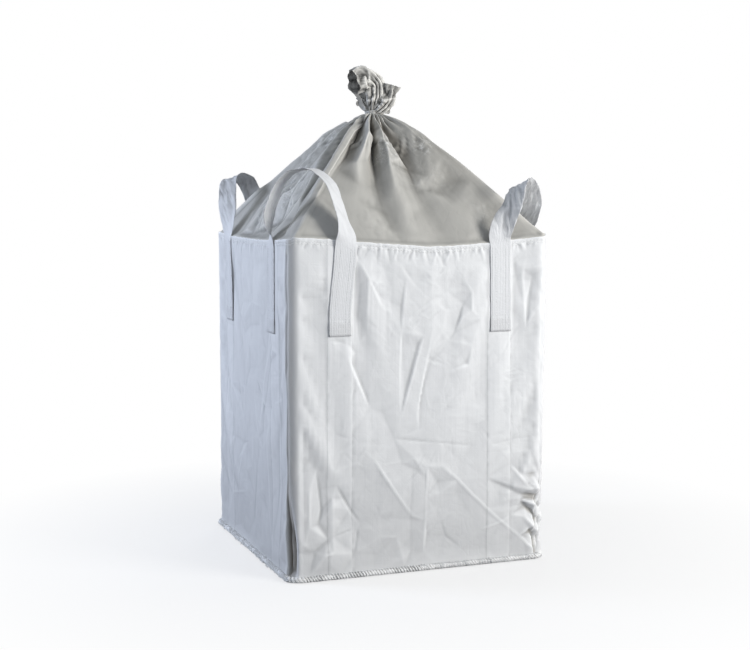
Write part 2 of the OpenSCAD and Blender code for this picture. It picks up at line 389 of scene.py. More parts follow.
def facet_heights(points, heights, edges, places):
    """Height, at each place, of a sheet of plane triangles through the points and along the edges."""
    out_v, _, out_f, orig_v, _, _ = delaunay_2d_cdt(points, edges, [], 0, 1e-5)
    h = np.array([heights[src[0]] if src else np.nan for src in orig_v])
    near = [set() for _ in out_v]
    for f in out_f:
        for i in f:
            near[i].update(f)
    for _ in range(3):                         # where edges cross, a new point takes its neighbours' mean
        for i in np.where(np.isnan(h))[0]:
            known = [h[j] for j in near[i] if not np.isnan(h[j])]
            if known:
                h[i] = sum(known) / len(known)
    h = np.nan_to_num(h)
    tree = BVHTree.FromPolygons([(v.x, v.y, float(z)) for v, z in zip(out_v, h)], [tuple(f) for f in out_f])
    up = Vector((0, 0, 1))
    hits = [tree.ray_cast(Vector((x, y, -1)), up)[0] for x, y in places]
    return np.array([0.0 if hit is None else hit.z for hit in hits])


# The net of plane facets between the creases of a face, in millimetres
NET_ALONG, NET_UP, NET_JITTER = 80, 75, 28     # spacing of the random points, and how far each strays
NET_CLEAR, NET_HIGH = 38, 4.5                  # their least distance from a crease, and greatest height
EDGE_A, EDGE_LOW, EDGE_HIGH = 455, 14, 1078    # the flat border round the face


def crease_field(lines, a, z, rng):
    """Height of one face of the wall: a stiff sheet folded along its creases, flat at its edges."""
    points, heights, edges = fold_points(lines)
    crease = np.array([(p.x * 1000, p.y * 1000) for p in points])
    for gz in np.arange(70, 1060, NET_UP):
        for ga in np.arange(-400, 401, NET_ALONG):
            p = np.array([ga, gz]) + rng.uniform(-NET_JITTER, NET_JITTER, 2)
            if np.min(np.linalg.norm(crease - p, axis=1)) > NET_CLEAR:
                points.append(Vector(p / 1000))
                heights.append(rng.uniform(-NET_HIGH, NET_HIGH) / 1000)
    border = [(ga, gz) for gz in np.linspace(0, 1100, 12) for ga in (-EDGE_A, EDGE_A)]
    border += [(ga, gz) for ga in np.linspace(-390, 390, 8) for gz in (EDGE_LOW, EDGE_HIGH)]
    points += [Vector((ga / 1000, gz / 1000)) for ga, gz in border]
    return facet_heights(points, heights + [0.0] * len(border), edges, zip(a, z))


def plan_field(lines, filler, spread, places, rng):
    """Faceted heights over a plan: crease lines plus random filler points."""
    points, heights, edges = fold_points(lines)
    fixed = np.array([(q.x, q.y) for q in points])
    for gx in np.arange(-0.64, 0.641, filler):
        for gy in np.arange(-0.64, 0.641, filler):
            q = np.array([gx, gy]) + rng.uniform(-0.4, 0.4, 2) * filler
            if len(fixed) and np.min(np.linalg.norm(fixed - q, axis=1)) < filler * 0.55:
                continue
            points.append(Vector(q))
            heights.append(rng.uniform(-spread, spread))
    return facet_heights(points, heights, edges, places)


PINCH_REACH = 0.02                             # how far from its line a pinched crease is worked out


def pinch_field(lines, a, z, width, scale):
    """Narrow sharp ridges and grooves along the crease lines themselves."""
    result = np.zeros(len(a))
    for line in lines:
        q = np.array(line, float) / 1000
        total, run = lengths(q[:, :2])[-1], 0.0
        for p0, p1 in zip(q[:-1], q[1:]):
            d = p1[:2] - p0[:2]
            length = np.linalg.norm(d)
            if length < 1e-5:
                continue
            ra, rz = a - p0[0], z - p0[1]
            near = np.abs(ra - d[0] / 2) < abs(d[0]) / 2 + PINCH_REACH
            near &= np.abs(rz - d[1] / 2) < abs(d[1]) / 2 + PINCH_REACH
            t = (ra[near] * d[0] + rz[near] * d[1]) / length ** 2
            off = (ra[near] * d[1] - rz[near] * d[0]) / length
            high = (p0[2] + (p1[2] - p0[2]) * t) * scale
            fade = np.clip(np.sin(np.pi * np.clip((run + t * length) / total, 0.02, 0.98)) * 1.8, 0, 1)
            result[near] += np.where((t >= 0) & (t < 1), high * fade * bump(off, 0, width), 0)
            run += length
    return result


# Tucks at the corners, where the round tube meets the square base, in the order of DIAGONAL. Each is
# (middle, width, depth) high up, the same low down, how far the corner itself is pulled out at its top,
# middle and foot, and how crumpled it is.
TUCKS = [
    ((-0.004, 0.010, 0.003), (-0.012, 0.014, 0.018), (0.019, 0.013, 0.010), 0.0090),
    ((0.006, 0.012, 0.008), (0.004, 0.016, 0.026), (0.008, 0.004, 0.006), 0.0035),
    ((-0.006, 0.010, 0.007), (0.000, 0.016, 0.024), (0.004, 0.002, 0.004), 0.0035),
    ((-0.026, 0.009, 0.008), (-0.014, 0.020, 0.038), (0.000, 0.000, 0.000), 0.0010),
]


def past_corner(a):
    """Distance past the middle of the nearest corner, anticlockwise."""
    return a - np.where(a >= 0, 1, -1) * QUARTER / 2


def corner_tuck(face, a, z, rng):
    """How far the wall moves inwards along the diagonal at each corner, and which corner it is."""
    corner = np.where(a >= 0, face, (face + 3) % 4)
    shift = np.zeros(len(a))
    for k, (high, low, pull, crumple) in enumerate(TUCKS):
        on = corner == k
        c, h = past_corner(a[on]), z[on]
        f = smooth(h, 0.36, 0.10)
        mid, width, depth = (top + (foot - top) * f for top, foot in zip(high, low))
        mid = mid + 0.003 * value_noise(h, h * 0 + k, 0.09, rng)
        depth = depth * (1 + 0.25 * value_noise(h + 5, h * 0 + k, 0.06, rng))
        depth = depth * smooth(h, 1.098, 1.05) * (0.30 + 0.70 * smooth(h, 0.004, 0.035))
        groove = depth * np.exp(-np.abs((c - mid) / width) ** 3.2)
        ridge = 0.012 * f * bump(c, mid + 0.002, 0.0035) * smooth(h, 0.02, 0.06)
        out = np.interp(h, (0.0, 0.03, 0.45, 1.0, 1.1), (0.004, pull[2], pull[1], pull[0], pull[0]))
        rough = np.interp(h, (0.02, 0.06, 0.24, 0.36, 1.1), (0.2, 1.0, 0.9, 0.22, 0.14)) * crumple
        crush = facet_noise(h, c + 0.4 * k, 0.037, rng) + 0.6 * facet_noise(h + 2, c + 0.4 * k, 0.017, rng)
        crush *= rough * bump(c, 0, 0.044 if k == 0 else 0.034)
        shift[on] = groove - ridge - crush - out * np.exp(-np.abs(c / 0.040) ** 1.6)
    return shift, corner


WALL_COLS = (200, 124, 120, 160)               # points round the front, right, rear and left
RANDOM_CREASES = {RIGHT: 46, REAR: 46, LEFT: 8}
FINE_CREASES = (100, 130, 130, 60)
HEM = 0.018                                    # from the rim down to the hem's lower row of stitching
RIM_FOLD = [(0.0006, 0.0), (0.0018, 0.0), (0.0026, 0.003), (0.0028, 0.014), (0.0028, 0.025)]  # inwards, down


def build_body():
    """The woven tube: an outer skin from the base seam to the rim, folded in at the hem."""
    rng = np.random.default_rng(7)
    s = np.concatenate([QUARTER * (k - 0.5) + (np.arange(n) + 0.5) * QUARTER / n
                        for k, n in enumerate(WALL_COLS)])
    face, a, point, normal = outline(s)
    heights = np.concatenate([(0.004, 0.007), np.arange(0.012, RIM - 0.0245, 0.0048),
                              RIM - np.array([0.0235, 0.0195, 0.0175, 0.013, 0.0095, 0.0085, 0.004, 0.001])])
    rows, cols = len(heights), len(s)
    A, Z = np.meshgrid(a, heights)
    F, S = np.broadcast_to(face, A.shape), np.broadcast_to(s, A.shape)

    def by_face(field):
        """A grid from what field(face, along, height) gives for each face."""
        grid = np.zeros(A.shape)
        for k in range(4):
            grid[F == k] = field(k, A[F == k], Z[F == k])
        return grid

    lines = dict(CREASES)
    for k, count in RANDOM_CREASES.items():
        lines[k] = lines.get(k, []) + random_creases(rng, count)
    calm = 1 - 0.65 * (F == FRONT) * smooth(A, -0.29, -0.33) * smooth(Z, 0.36, 0.50)
    field = by_face(lambda k, x, z: (
        crease_field(lines[k], x, z, rng) * np.interp(z, (0.30, 0.60), (0.75, 0.55))))
    field *= calm * smooth(np.abs(A), WALL + 0.005, WALL - 0.028)
    field *= smooth(Z, 0.0, 0.05) * smooth(Z, RIM - 0.026, RIM - 0.09)
    pinch = by_face(lambda k, x, z: (
        pinch_field(lines[k], x, z, 0.0030, 0.24) * np.interp(z, (0.30, 0.60), (1.0, 0.45))
        + pinch_field(fine_creases(rng, FINE_CREASES[k]), x, z, 0.0025, 0.55)))
    pinch *= smooth(np.abs(A), WALL, WALL - 0.03) * smooth(Z, 0.01, 0.06) * smooth(Z, RIM - 0.03, RIM - 0.08)
    soft = 0.006 * value_noise(S, Z, 0.32, rng) + 0.0018 * value_noise(S, Z * 0.5, 0.11, rng)
    soft += 0.0005 * value_noise(S, Z * 0.6, 0.035, rng)
    soft += by_face(lambda k, x, z: plan_field([], 0.034, 0.0007, np.stack([x, z - 0.55], -1), rng))
    soft *= calm * smooth(np.abs(A), WALL, WALL - 0.10)
    soft *= smooth(Z, 0.0, 0.08) * smooth(Z, RIM - 0.02, RIM - 0.12)

    pucker = np.zeros(A.shape)                 # short gathers below the hem's stitching
    below = RIM - HEM - Z
    for k in range(4):
        for x in np.arange(-0.41, 0.41, 0.0098):
            x += rng.uniform(-0.005, 0.005)
            reach = rng.uniform(0.010, 0.055) * (1.0 if abs(x) < 0.24 else 0.5)
            lean = rng.uniform(-0.5, 0.5)
            drop = np.clip(below / reach, 0, 1)
            ridge = bump(A, x + lean * below, 0.0030 + 0.003 * drop) * (1 - drop) * (below > -0.001)
            pucker += (F == k) * ridge * rng.uniform(0.0010, 0.0034) * rng.choice([1, -1])
    under_leg, band = np.zeros(A.shape), np.zeros(A.shape)
    for k in range(4):
        for x in (-LEG_A, LEG_A):
            on, off = F == k, np.abs(A - x)
            leg = smooth(off, 0.055, 0.040) * smooth(Z, LEG_BOTTOM - 0.02, LEG_BOTTOM + 0.01)
            under_leg = np.maximum(under_leg, on * leg)
            band += on * smooth(off, 0.0445, 0.0405)
            edge = bump(off, 0.0425, 0.005) * (0.4 + 0.6 * value_noise(S, Z, 0.02, rng))
            pucker -= on * edge * 0.0012 * (Z < RIM - 0.03)
    ripple = 0.0009 * value_noise(S, Z * 0.3, 0.009, rng) * smooth(Z, RIM - 0.030, RIM - 0.020)
    flare = 0.0035 * np.exp(-Z / 0.02)
    wrinkle = (field + soft + pucker + pinch) * (1 - 0.85 * under_leg) + 0.0008 * band + ripple + flare

    tuck, corner = (v.reshape(rows, cols) for v in corner_tuck(F.ravel(), A.ravel(), Z.ravel(), rng))
    lift = rim_lift(face, a) + 0.0012 * line_noise(s, 0.016, rng) + 0.0007 * line_noise(s, 0.006, rng)
    plan = point + normal * wrinkle[..., None] - tuck[..., None] * DIAGONAL[corner]
    high_up = Z + lift * smooth(Z, RIM - 0.55, RIM - 0.02) ** 1.5
    xyz = np.concatenate([plan, high_up[..., None]], -1)

    # held at the foot, the rim, the corners and the legs
    picked = np.unique(np.r_[np.arange(0, rows - 9, 5), rows - 1])
    z, x = heights[picked][:, None], np.abs(a[::COARSE])[None]
    leg = smooth(np.abs(x - LEG_A), 0.050, 0.040) * smooth(z, LEG_BOTTOM - 0.01, LEG_BOTTOM + 0.01)
    pin = np.max(np.broadcast_arrays(smooth(z, 0.05, 0.02), smooth(z, RIM - 0.04, RIM - 0.015),
                                     smooth(x, WALL - 0.05, WALL - 0.02), leg), axis=0)
    fade = smooth(z, 0.03, 0.22) * smooth(z, RIM - 0.03, RIM - 0.14) * (pin <= 0.98)
    xyz = sagged(xyz, picked, pin, fade[..., None], grow=0.004, cap=0.004, bend=2.0)

    # painted shade in the near left corner's tuck and chamfer, and in the creases at the foot of the front
    # right corner
    high = relief(xyz, 3)
    past, low_down = past_corner(A), smooth(Z, 0.36, 0.10)
    near_left = ((F == FRONT) & (A < 0)) | ((F == LEFT) & (A > 0))
    middle, spread = -0.027 + 0.013 * low_down, 0.010 + 0.010 * low_down
    dim = np.interp(Z, (0.0, 0.33, 1.05), (0.60, 0.50, 0.40))
    dim *= smooth(past, 0.026, -0.016) * smooth(past, -0.032, -0.026)
    deep = np.interp(Z, (0.01, 0.05, 0.33, 0.5, 0.95, 1.06), (0.4, 0.9, 0.6, 0.35, 0.2, 0.0))
    deep *= np.exp(-np.abs((past - middle) / spread) ** 3)
    deep *= 1 - 0.7 * bump(past, middle + 0.002, 0.0035) * low_down
    pit_shade = ((corner == 0) & (Z < 0.30)) * smooth(-high, 0.0004, 0.0026) * smooth(np.abs(past), 0.09, 0.04)
    shade = np.maximum(near_left * np.maximum(dim, deep), 0.50 * pit_shade)

    fold = [np.c_[xyz[-1, :, :2] - normal * inward, RIM + lift - down] for inward, down in RIM_FOLD]
    rest = np.zeros((len(fold), cols))
    obj = make_mesh("bag_body_cloth", np.concatenate([xyz, fold]), grid_faces(rows + len(fold), cols),
                    grid_uv(a, np.r_[heights, [RIM] * len(fold)]),
                    relief=np.vstack([np.clip(high / 0.0018, -1, 1), rest]), shade=np.vstack([shade, rest]))
    return obj, xyz, s, heights


body, body_grid, body_s, body_z = build_body()


def wall_point(face_id, a, z):
    """The wall's own place at (a, z) on a face."""
    n, past = len(body_s), (face_id * QUARTER + a - body_s[0]) % PERIMETER
    i = np.interp(past, body_s - body_s[0], np.arange(n)) if past < body_s[-1] - body_s[0] else n - 0.5
    j = np.interp(z, body_z, np.arange(len(body_z)))
    i0, j0 = int(i), min(int(j), len(body_z) - 2)
    fi, fj = i - i0, j - j0
    low, high = (row[i0 % n] * (1 - fi) + row[(i0 + 1) % n] * fi for row in body_grid[j0:j0 + 2])
    return low * (1 - fj) + high * fj


# ---------------------------------------------------------------- lift loops
def catmull(points, count):
    """A smooth line through points, evenly spaced."""
    p = np.array(points, float)
    p = np.vstack([2 * p[0] - p[1], p, 2 * p[-1] - p[-2]])
    t = np.linspace(0, 1, 24, endpoint=False)[:, None]
    out = [0.5 * (2 * b + (c - a) * t + (2 * a - 5 * b + 4 * c - d) * t ** 2
                  + (3 * b - a - 3 * c + d) * t ** 3) for a, b, c, d in zip(p, p[1:], p[2:], p[3:])]
    out = np.vstack(out + [p[-2:-1]])
    gap = lengths(out)
    at = np.linspace(0, gap[-1], count)
    return np.stack([np.interp(at, gap, column) for column in out.T], 1)


# Free part of each loop, from one leg's root to the other's: (across, outwards, height above the rim), in
# millimetres
ARCH = {
    "front_left": [(110, -16, 110), (78, -14, 172), (40, -10, 210), (0, -6, 226), (-62, 2, 204),
                   (-108, 8, 150), (-127, 8, 92)],
    "front_right": [(118, 22, 60), (112, 32, 112), (80, 34, 160), (18, 30, 182), (-46, 38, 164),
                    (-86, 30, 112)],
    "rear_left": [(104, 12, 132), (74, 26, 188), (0, 34, 210), (-80, 30, 182), (-112, 16, 118)],
    "rear_right": [(108, 6, 130), (76, 14, 190), (0, 20, 214), (-72, 12, 186), (-106, 4, 126)],
}
# How far the crown leans (outer edge up), and how crumpled it is
LEAN = {"front_left": (0.0, 0.25), "front_right": (0.50, 1.0), "rear_left": (-0.32, 1.0),
        "rear_right": (0.15, 0.6)}
# How far past each leg's root the webbing has turned edge-on, in metres
TWIST = {"front_left": (0.09, 0.10), "front_right": (0.15, 0.15), "rear_left": (0.14, 0.15),
         "rear_right": (0.14, 0.14)}
# How far each leg is sewn from its place by the pattern, in millimetres along its face: (foot, rim)
LEG_SHIFT = {
    "front_left": ((0, 20), (-28, -26)), "front_right": ((0, 0), (3, 0)),
    "rear_left": ((18, 0), (0, 0)), "rear_right": ((4, -6), (-5, 5)),
}
# The face before each corner, anticlockwise
BEFORE = {"front_left": LEFT, "front_right": FRONT, "rear_left": REAR, "rear_right": RIGHT}
FREE_ROWS, LEG_ROWS, ACROSS = 220, 38, 53      # points along the free part, along a leg, and across
KINKS = 13                                     # random bends along the free part


def loop_leg(face, middle, foot, head):
    """Points up one leg, which lies on the most raised part of the wall under it."""
    line = []
    for z in np.linspace(LEG_BOTTOM + 0.002, RIM - 0.012, LEG_ROWS):
        a = middle + (foot + (head - foot) * smooth(z, 0.84, RIM)) / 1000
        p = wall_point(face, a, z)
        most = max(wall_point(face, a + da, z)[:2] @ OUT[face] for da in (-0.03, -0.012, 0.012, 0.03))
        p[:2] += OUT[face] * (most - p[:2] @ OUT[face] + WEB_GAP)
        line.append(p)
    line = np.array(line)
    stand = line[:, :2] @ OUT[face]
    even = np.convolve(np.pad(stand, 2, "edge"), np.ones(5) / 5, "valid")
    line[:, :2] += (even - stand)[:, None] * OUT[face]
    return line


def build_loop(name):
    """One length of ribbed webbing: up one face, over the corner, down the next. Also gives its legs."""
    sx, sy = CORNERS[name]
    out = np.array([sx, sy, 0.0]) / math.sqrt(2)
    right = np.array([-out[1], out[0], 0.0])     # across the loop, anticlockwise round the bag
    centre = np.array([sx * C_IN, sy * C_IN, RIM])
    k0 = BEFORE[name]
    k1 = (k0 + 1) % 4
    shift1, shift0 = LEG_SHIFT[name]
    first, last = loop_leg(k1, -LEG_A, *shift1), loop_leg(k0, LEG_A, *shift0)
    legs = [(first, k1), (last, k0)]
    last = last[::-1]
    arch = [centre + right * x / 1000 + out * y / 1000 + UP * h / 1000 for x, y, h in ARCH[name]]
    rise = UP * 0.045 - out * 0.001
    free = catmull([first[-1], first[-1] + rise, *arch, last[0] + rise, last[0]], FREE_ROWS)
    kinks = np.random.default_rng(hash_name(name) + 1).normal(0, 0.0022, (KINKS, 3))
    at = np.linspace(0, KINKS - 1, FREE_ROWS)
    kinks = np.stack([spread_out(k, FREE_ROWS) for k in kinks.T], 1)
    free += kinks * (smooth(at, 1.2, 3.0) * smooth(at, 10.8, 9.0))[:, None]
    path = np.vstack([first, free[1:-1], last])
    n, gap = len(path), lengths(path)
    u0, u1 = gap[LEG_ROWS - 1], gap[LEG_ROWS + FREE_ROWS - 3]    # where it leaves each leg

    def on_free(outside, inside):
        """1 on the free part, fading out from inside past each root to outside before it."""
        return smooth(gap, u0 - outside, u0 + inside) * smooth(gap, u1 + outside, u1 - inside)

    # the width runs along the wall on each leg, and outwards over the crown
    crown = -math.pi / 2
    t0, t1 = (crown + math.remainder(math.atan2(w @ out[:2], w @ right[:2]) - crown, 2 * math.pi)
              for w in (ALONG[k1], -ALONG[k0]))
    turn = np.where(gap <= (u0 + u1) / 2, t0 + (crown - t0) * smooth(gap, u0 - 0.02, u0 + TWIST[name][0]),
                    t1 + (crown - t1) * smooth(gap, u1 + 0.02, u1 - TWIST[name][1]))
    wide = np.cos(turn)[:, None] * right + np.sin(turn)[:, None] * out
    lean, crumpled = LEAN[name]
    wide[:, 2] -= lean * smooth(gap, u0 + 0.06, u0 + 0.18) * smooth(gap, u1 - 0.06, u1 - 0.18)
    tangent = unit(np.gradient(path, axis=0))
    wide = unit(wide - np.sum(wide * tangent, 1)[:, None] * tangent)
    normal = np.cross(wide, tangent)
    normal *= np.sign(normal[5, :2] @ OUT[k1])

    x = np.linspace(-1, 1, ACROSS)
    half = WEB_THICK / 2 * (1 - 0.45 * np.abs(x) ** 14)
    half += 0.00030 * np.abs(np.cos(x * math.pi * RIBS / 2)) ** 0.7
    ring_x, ring_n = np.r_[x, x[::-1]], np.r_[half, -half[::-1]]
    over, along = np.meshgrid(ring_x * WEB / 2, gap)
    rng = np.random.default_rng(hash_name(name))
    cup = spread_out(rng.uniform(-0.0042, 0.0042, 12), n) * on_free(0.01, 0.05)
    width = WEB / 2 * (1 + 0.018 * spread_out(rng.uniform(-1, 1, 40), n)
                       + 0.012 * spread_out(rng.uniform(-1, 1, 150), n))
    crinkle = 0.0019 * facet_noise(along * 0.62 + over * 0.25, over, 0.017, rng)
    crinkle += 0.0009 * facet_noise(along * 0.7, over, 0.008, rng)
    crinkle *= crumpled * on_free(0, 0.05)[:, None]
    turned = smooth(np.minimum(gap, gap[-1] - gap), 0.047, 0.042)      # the ends, folded under and sewn down
    thick = 1 + (ring_n > 0) * turned[:, None]
    verts = (path[:, None] + wide[:, None] * (ring_x * (width * (1 + 0.02 * turned))[:, None])[..., None]
             + normal[:, None] * (ring_n * thick + cup[:, None] * (ring_x ** 2 - 0.4) + crinkle)[..., None])
    # painted shade, broken, along the edges; the rear left crown painted darker as shade, and its first slope
    # painted lighter as a highlight; the folded-under ends a little darker
    edge_shade = smooth(value_noise(along, over * 9, 0.013, rng), 0.0, 0.5)
    edge_shade *= 0.5 * smooth(np.abs(over), WEB / 2 * 0.955, WEB / 2 * 0.985)
    odd = name == "rear_left"
    dull = odd * 0.22 * smooth(gap, u0 + 0.13, u0 + 0.17) * smooth(gap, u1, u1 - 0.05)
    pale = odd * 0.9 * smooth(gap, u0 - 0.01, u0 + 0.02) * smooth(gap, u0 + 0.17, u0 + 0.13)
    obj = make_mesh("lift_loop_" + name, verts, tube_faces(n, len(ring_x)), grid_uv(ring_x * WEB / 2, gap),
                    shade=np.maximum(np.maximum(0.10 * turned, dull)[:, None], edge_shade),
                    relief=np.clip(crinkle / 0.0018 + pale[:, None], -1, 1))
    return obj, legs


# ---------------------------------------------------------------- stitches
# Shape of one thread: places along it, how far it bows out there, and its thickness, as shares of its radius
THREAD_AT = np.array([0.0, 0.12, 0.35, 0.65, 0.88, 1.0])
THREAD_BOW = np.array([-0.5, 0.35, 1.0, 1.0, 0.35, -0.5]) * 0.35
THREAD_SIZE = np.array([0.55, 0.95, 1.05, 1.05, 0.95, 0.55])


def stitch_mesh(name, segments, radius, sides=6):
    """Many short threads, each bowed away from its surface: segments are (start, end, outward normal)."""
    verts, faces = [], []
    turn, thread = angles(sides)[:, None], tube_faces(len(THREAD_AT), sides)
    for start, end, normal in segments:
        d = end - start
        length = np.linalg.norm(d)
        if length < 1e-6:
            continue
        ring = np.cross(d / length, normal) * np.cos(turn) + normal * np.sin(turn)
        middle = start + d * THREAD_AT[:, None] + normal * (THREAD_BOW * radius)[:, None]
        faces += [[len(verts) + i for i in f] for f in thread]
        verts.extend((middle[:, None] + ring * (THREAD_SIZE * radius)[:, None, None]).reshape(-1, 3))
    return make_mesh(name, verts, faces)


def hem_stitches():
    """Two rows of stitching round the hem."""
    rng = np.random.default_rng(21)
    rows = []
    count = int(PERIMETER / 0.0105)
    for down in (HEM / 2, HEM):
        for i in range(count):
            s0 = i * PERIMETER / count + rng.uniform(-0.0006, 0.0006)
            face, a, _, normal = outline(np.array([s0, s0 + 0.0078]))
            z = RIM - down + rng.uniform(-0.0005, 0.0005)
            ends = [wall_point(face[j], a[j], z) + np.r_[normal[j], 0] * 0.0004 for j in (0, 1)]
            rows.append((*ends, np.r_[normal[0], 0]))
    return stitch_mesh("hem_stitches", rows, 0.0008)


def leg_stitches(name, legs):
    """Two rows of stitching near each edge of a leg, and four across its foot."""
    rng = np.random.default_rng(hash_name(name) + 5)
    pitch, dash = 0.0088, 0.0066
    rows = []
    for line, k in legs:
        along, out, zs = np.r_[ALONG[k], 0], np.r_[OUT[k], 0], line[:, 2]

        def at(x, z):
            p = np.array([np.interp(z, zs, column) for column in line.T])
            return p + along * x + out * (0.0014 + 0.0012 * (z < zs[0] + 0.044))

        z_low, z_high = zs[0] + 0.008, zs[-1] - 0.012
        for x in (-0.0305, -0.0175, 0.0175, 0.0305):
            for z in np.arange(z_low, z_high, pitch):
                j = rng.uniform(-0.0004, 0.0004)
                rows.append((at(x + j, z), at(x + j, z + dash), out))
        for up in (0, 0.016, 0.032, 0.048):
            for x in np.arange(-0.030, 0.024, pitch):
                rows.append((at(x, z_low + up), at(x + dash, z_low + up), out))
    return stitch_mesh("leg_stitches_" + name, rows, 0.0006)


# ---------------------------------------------------------------- base
OVERLOCK_PITCH = 0.0102
# One turn of the overlock thread: (how far round, outwards, height). The first one's height varies.
OVERLOCK = [(0, 0.0012, 0.0200), (0.002, 0.0118, 0.0150), (0.006, 0.0140, 0.0050), (None, 0.0132, 0.0078)]


def seam_tube(name, point, normal, out, up, **more):
    """A closed tube round the wall's foot, from how far outwards and how high its points are."""
    ring = np.concatenate([point[:, None] + normal[:, None] * out[..., None], up[..., None]], -1)
    return make_mesh(name, ring, grid_faces(*up.shape, wrap_rows=True), **more)


def build_base():
    """Flat base cloth with a slight crown, the overlocked lip round it, its thread and the filler cord."""
    rng = np.random.default_rng(11)
    s, _, _, point, normal = round_wall(360)
    rings = []
    for f in np.r_[np.linspace(0.04, 0.96, 24), 1.0]:
        xy = point * f
        z = 0.0025 + 0.002 * value_noise(xy[:, 0] + 2, xy[:, 1] + 2, 0.09, rng) * (1 - f ** 6)
        rings.append(np.c_[xy, z])
    rings.append(np.c_[point + normal * 0.009, np.full(len(s), 0.0032)])
    rings = np.array(rings)
    faces = [f[::-1] for f in grid_faces(len(rings), len(s))] + [list(range(len(s)))]
    base = make_mesh("base_cloth", rings, faces, rings[..., :2])

    # the lip: the seam allowance of wall and base, rolled into one soft edge
    s, _, _, point, normal = round_wall(1800)
    ang = angles(12)
    c, d = np.cos(ang), np.sin(ang)
    wave = (0.0018 * line_noise(s, 0.03, rng) + 0.0014 * line_noise(s, 0.008, rng))[:, None]
    keep = line_noise(s, 0.013, rng)[:, None]
    turn = np.sin(2 * math.pi * (s[:, None] / OVERLOCK_PITCH + 0.55 * d))
    bulge = np.sign(c) * np.abs(c) ** 0.45
    reach = 0.0056 + 0.0068 * bulge + wave - 0.0009 * smooth(turn, 0.2, 0.9)
    up = 0.0092 + (0.0082 - 0.0012 * bulge) * np.sign(d) * np.abs(d) ** 0.8 - 0.0008 * bulge
    # the shade attribute paints shade into the grooves between the overlock turns, as darker slanted ticks
    lip = seam_tube("base_seam_lip", point, normal, reach, np.maximum(up + 0.6 * wave, 0.0004),
                    uvs=grid_uv(ang / 50, s)[..., ::-1],
                    shade=smooth(turn, 0.45, 0.95) * (0.78 + 0.30 * keep) * (c > -0.3))

    # overlock thread: slanted turns over the lip, the looper thread along its edge, and frayed ends
    rows = []
    count = round(PERIMETER / OVERLOCK_PITCH)
    pitch = PERIMETER / count
    for i in range(count):
        s0 = (i + 0.45) * pitch + rng.uniform(-0.0006, 0.0006)
        _, _, p, n = outline(s0 + np.array([pitch if far is None else far for far, _, _ in OVERLOCK]))
        a3, b3, c3, d3 = (np.r_[p[j] + n[j] * out, high] for j, (_, out, high) in enumerate(OVERLOCK))
        a3[2] += rng.uniform(-0.0015, 0.0015)
        n3 = np.c_[n, np.zeros(4)]
        rows += [(a3, b3, (UP + n3[0]) / math.sqrt(2)), (b3, c3, n3[1]), (c3, d3, n3[2])]
        if rng.uniform() < 0.35:
            end = np.r_[p[2] + n[2] * rng.uniform(0.017, 0.021), rng.uniform(0.002, 0.009)]
            end[:2] += np.array([-n[2][1], n[2][0]]) * rng.uniform(-0.006, 0.006)
            rows.append((c3, end, UP))
    thread = stitch_mesh("base_overlock_thread", rows, 0.0014, sides=5)

    # filler cord inside the seam
    s, _, _, point, normal = round_wall(700)
    ang = angles(8)
    r = 0.0018 + 0.0003 * np.sin(3 * ang + s[:, None] * 520)
    cord = seam_tube("base_filler_cord", point, normal, -0.0045 - r * np.cos(ang), 0.0055 + r * np.sin(ang))
    return base, lip, thread, cord


# ---------------------------------------------------------------- duffle top
# Folds of the skirt, seen from above: broken lines of (x, y, how far the cloth stands out), in millimetres
SKIRT_FOLDS = [
    [(-59, 23, 2), (-117, 49, 8), (-170, 68, 9), (-240, 90, 8), (-330, 120, 6), (-425, 150, 2)],
    [(-52, 16, -3), (-125, 5, -9), (-200, 0, -8), (-300, 10, -5), (-400, 17, -8)],
    [(-44, 8, 2), (-128, -32, 9), (-197, -78, 12), (-250, -135, 12), (-335, -237, 13), (-425, -344, 6)],
    [(-44, 3, -2), (-125, -58, -8), (-197, -108, -10), (-262, -178, -11), (-386, -290, -8), (-430, -337, -2)],
    [(-41, -5, 2), (-112, -96, 7), (-185, -165, 8), (-250, -228, 8), (-320, -300, 5)],
    [(-34, -10, -4), (-100, -122, -15), (-158, -187, -20), (-205, -228, -17), (-252, -273, -11),
     (-307, -325, -4)], [(-30, -44, 2), (-64, -126, 10), (-107, -186, 9), (-142, -229, 6)],
    [(-44, -132, -2), (-94, -208, -5), (-150, -290, -4), (-185, -330, -2)],
    [(-18, -34, -4), (-36, -95, -15), (-46, -140, -20), (-68, -218, -21), (-85, -278, -19), (-91, -348, -15),
     (-80, -395, -10), (-60, -435, -3)],
    [(-9, -60, 2), (-15, -110, 8), (-19, -160, 10), (-30, -230, 12), (-34, -294, 12), (-20, -342, 11),
     (-25, -390, 8), (-36, -438, 2)],
    [(-4, -55, -4), (2, -100, -14), (18, -146, -18), (38, -188, -17), (50, -228, -13), (46, -284, -9),
     (58, -340, -8), (80, -396, -6), (128, -438, -2)], [(-8, -118, 4), (2, -164, 6), (24, -206, 3)],
    [(34, -36, 2), (86, -112, 10), (124, -165, 13), (170, -215, 13), (250, -285, 9), (340, -350, 5),
     (420, -425, 2)], [(60, -283, 1), (109, -270, 4), (167, -250, 4)],
    [(68, -296, -3), (128, -306, -4), (190, -280, -2)],
    [(126, -325, 6), (158, -355, 8), (200, -398, 6), (245, -428, 2)], [(300, -380, -7), (330, -420, -6)],
    [(60, -8, -4), (140, -40, -13), (230, -80, -18), (320, -130, -16), (400, -190, -6)],
    [(80, 14, 3), (180, 14, 9), (300, 14, 8), (420, 14, 2)],
    [(-436, 200, -4), (-420, 120, -15), (-402, 17, -21), (-385, -76, -21), (-360, -140, -12),
     (-335, -200, -4)], [(-370, 160, 6), (-346, 60, 15), (-328, -30, 17), (-304, -84, 10)],
    [(-415, 415, 10), (-380, 380, 25), (-330, 330, 24), (-250, 260, 12), (-170, 175, 4)],
    [(-410, -436, 1), (-358, -401, 5), (-300, -378, 2)], [(-300, -60, 9), (-330, -110, 9), (-352, -160, 5)],
    [(-270, 30, -4), (-310, -20, -5)],
]
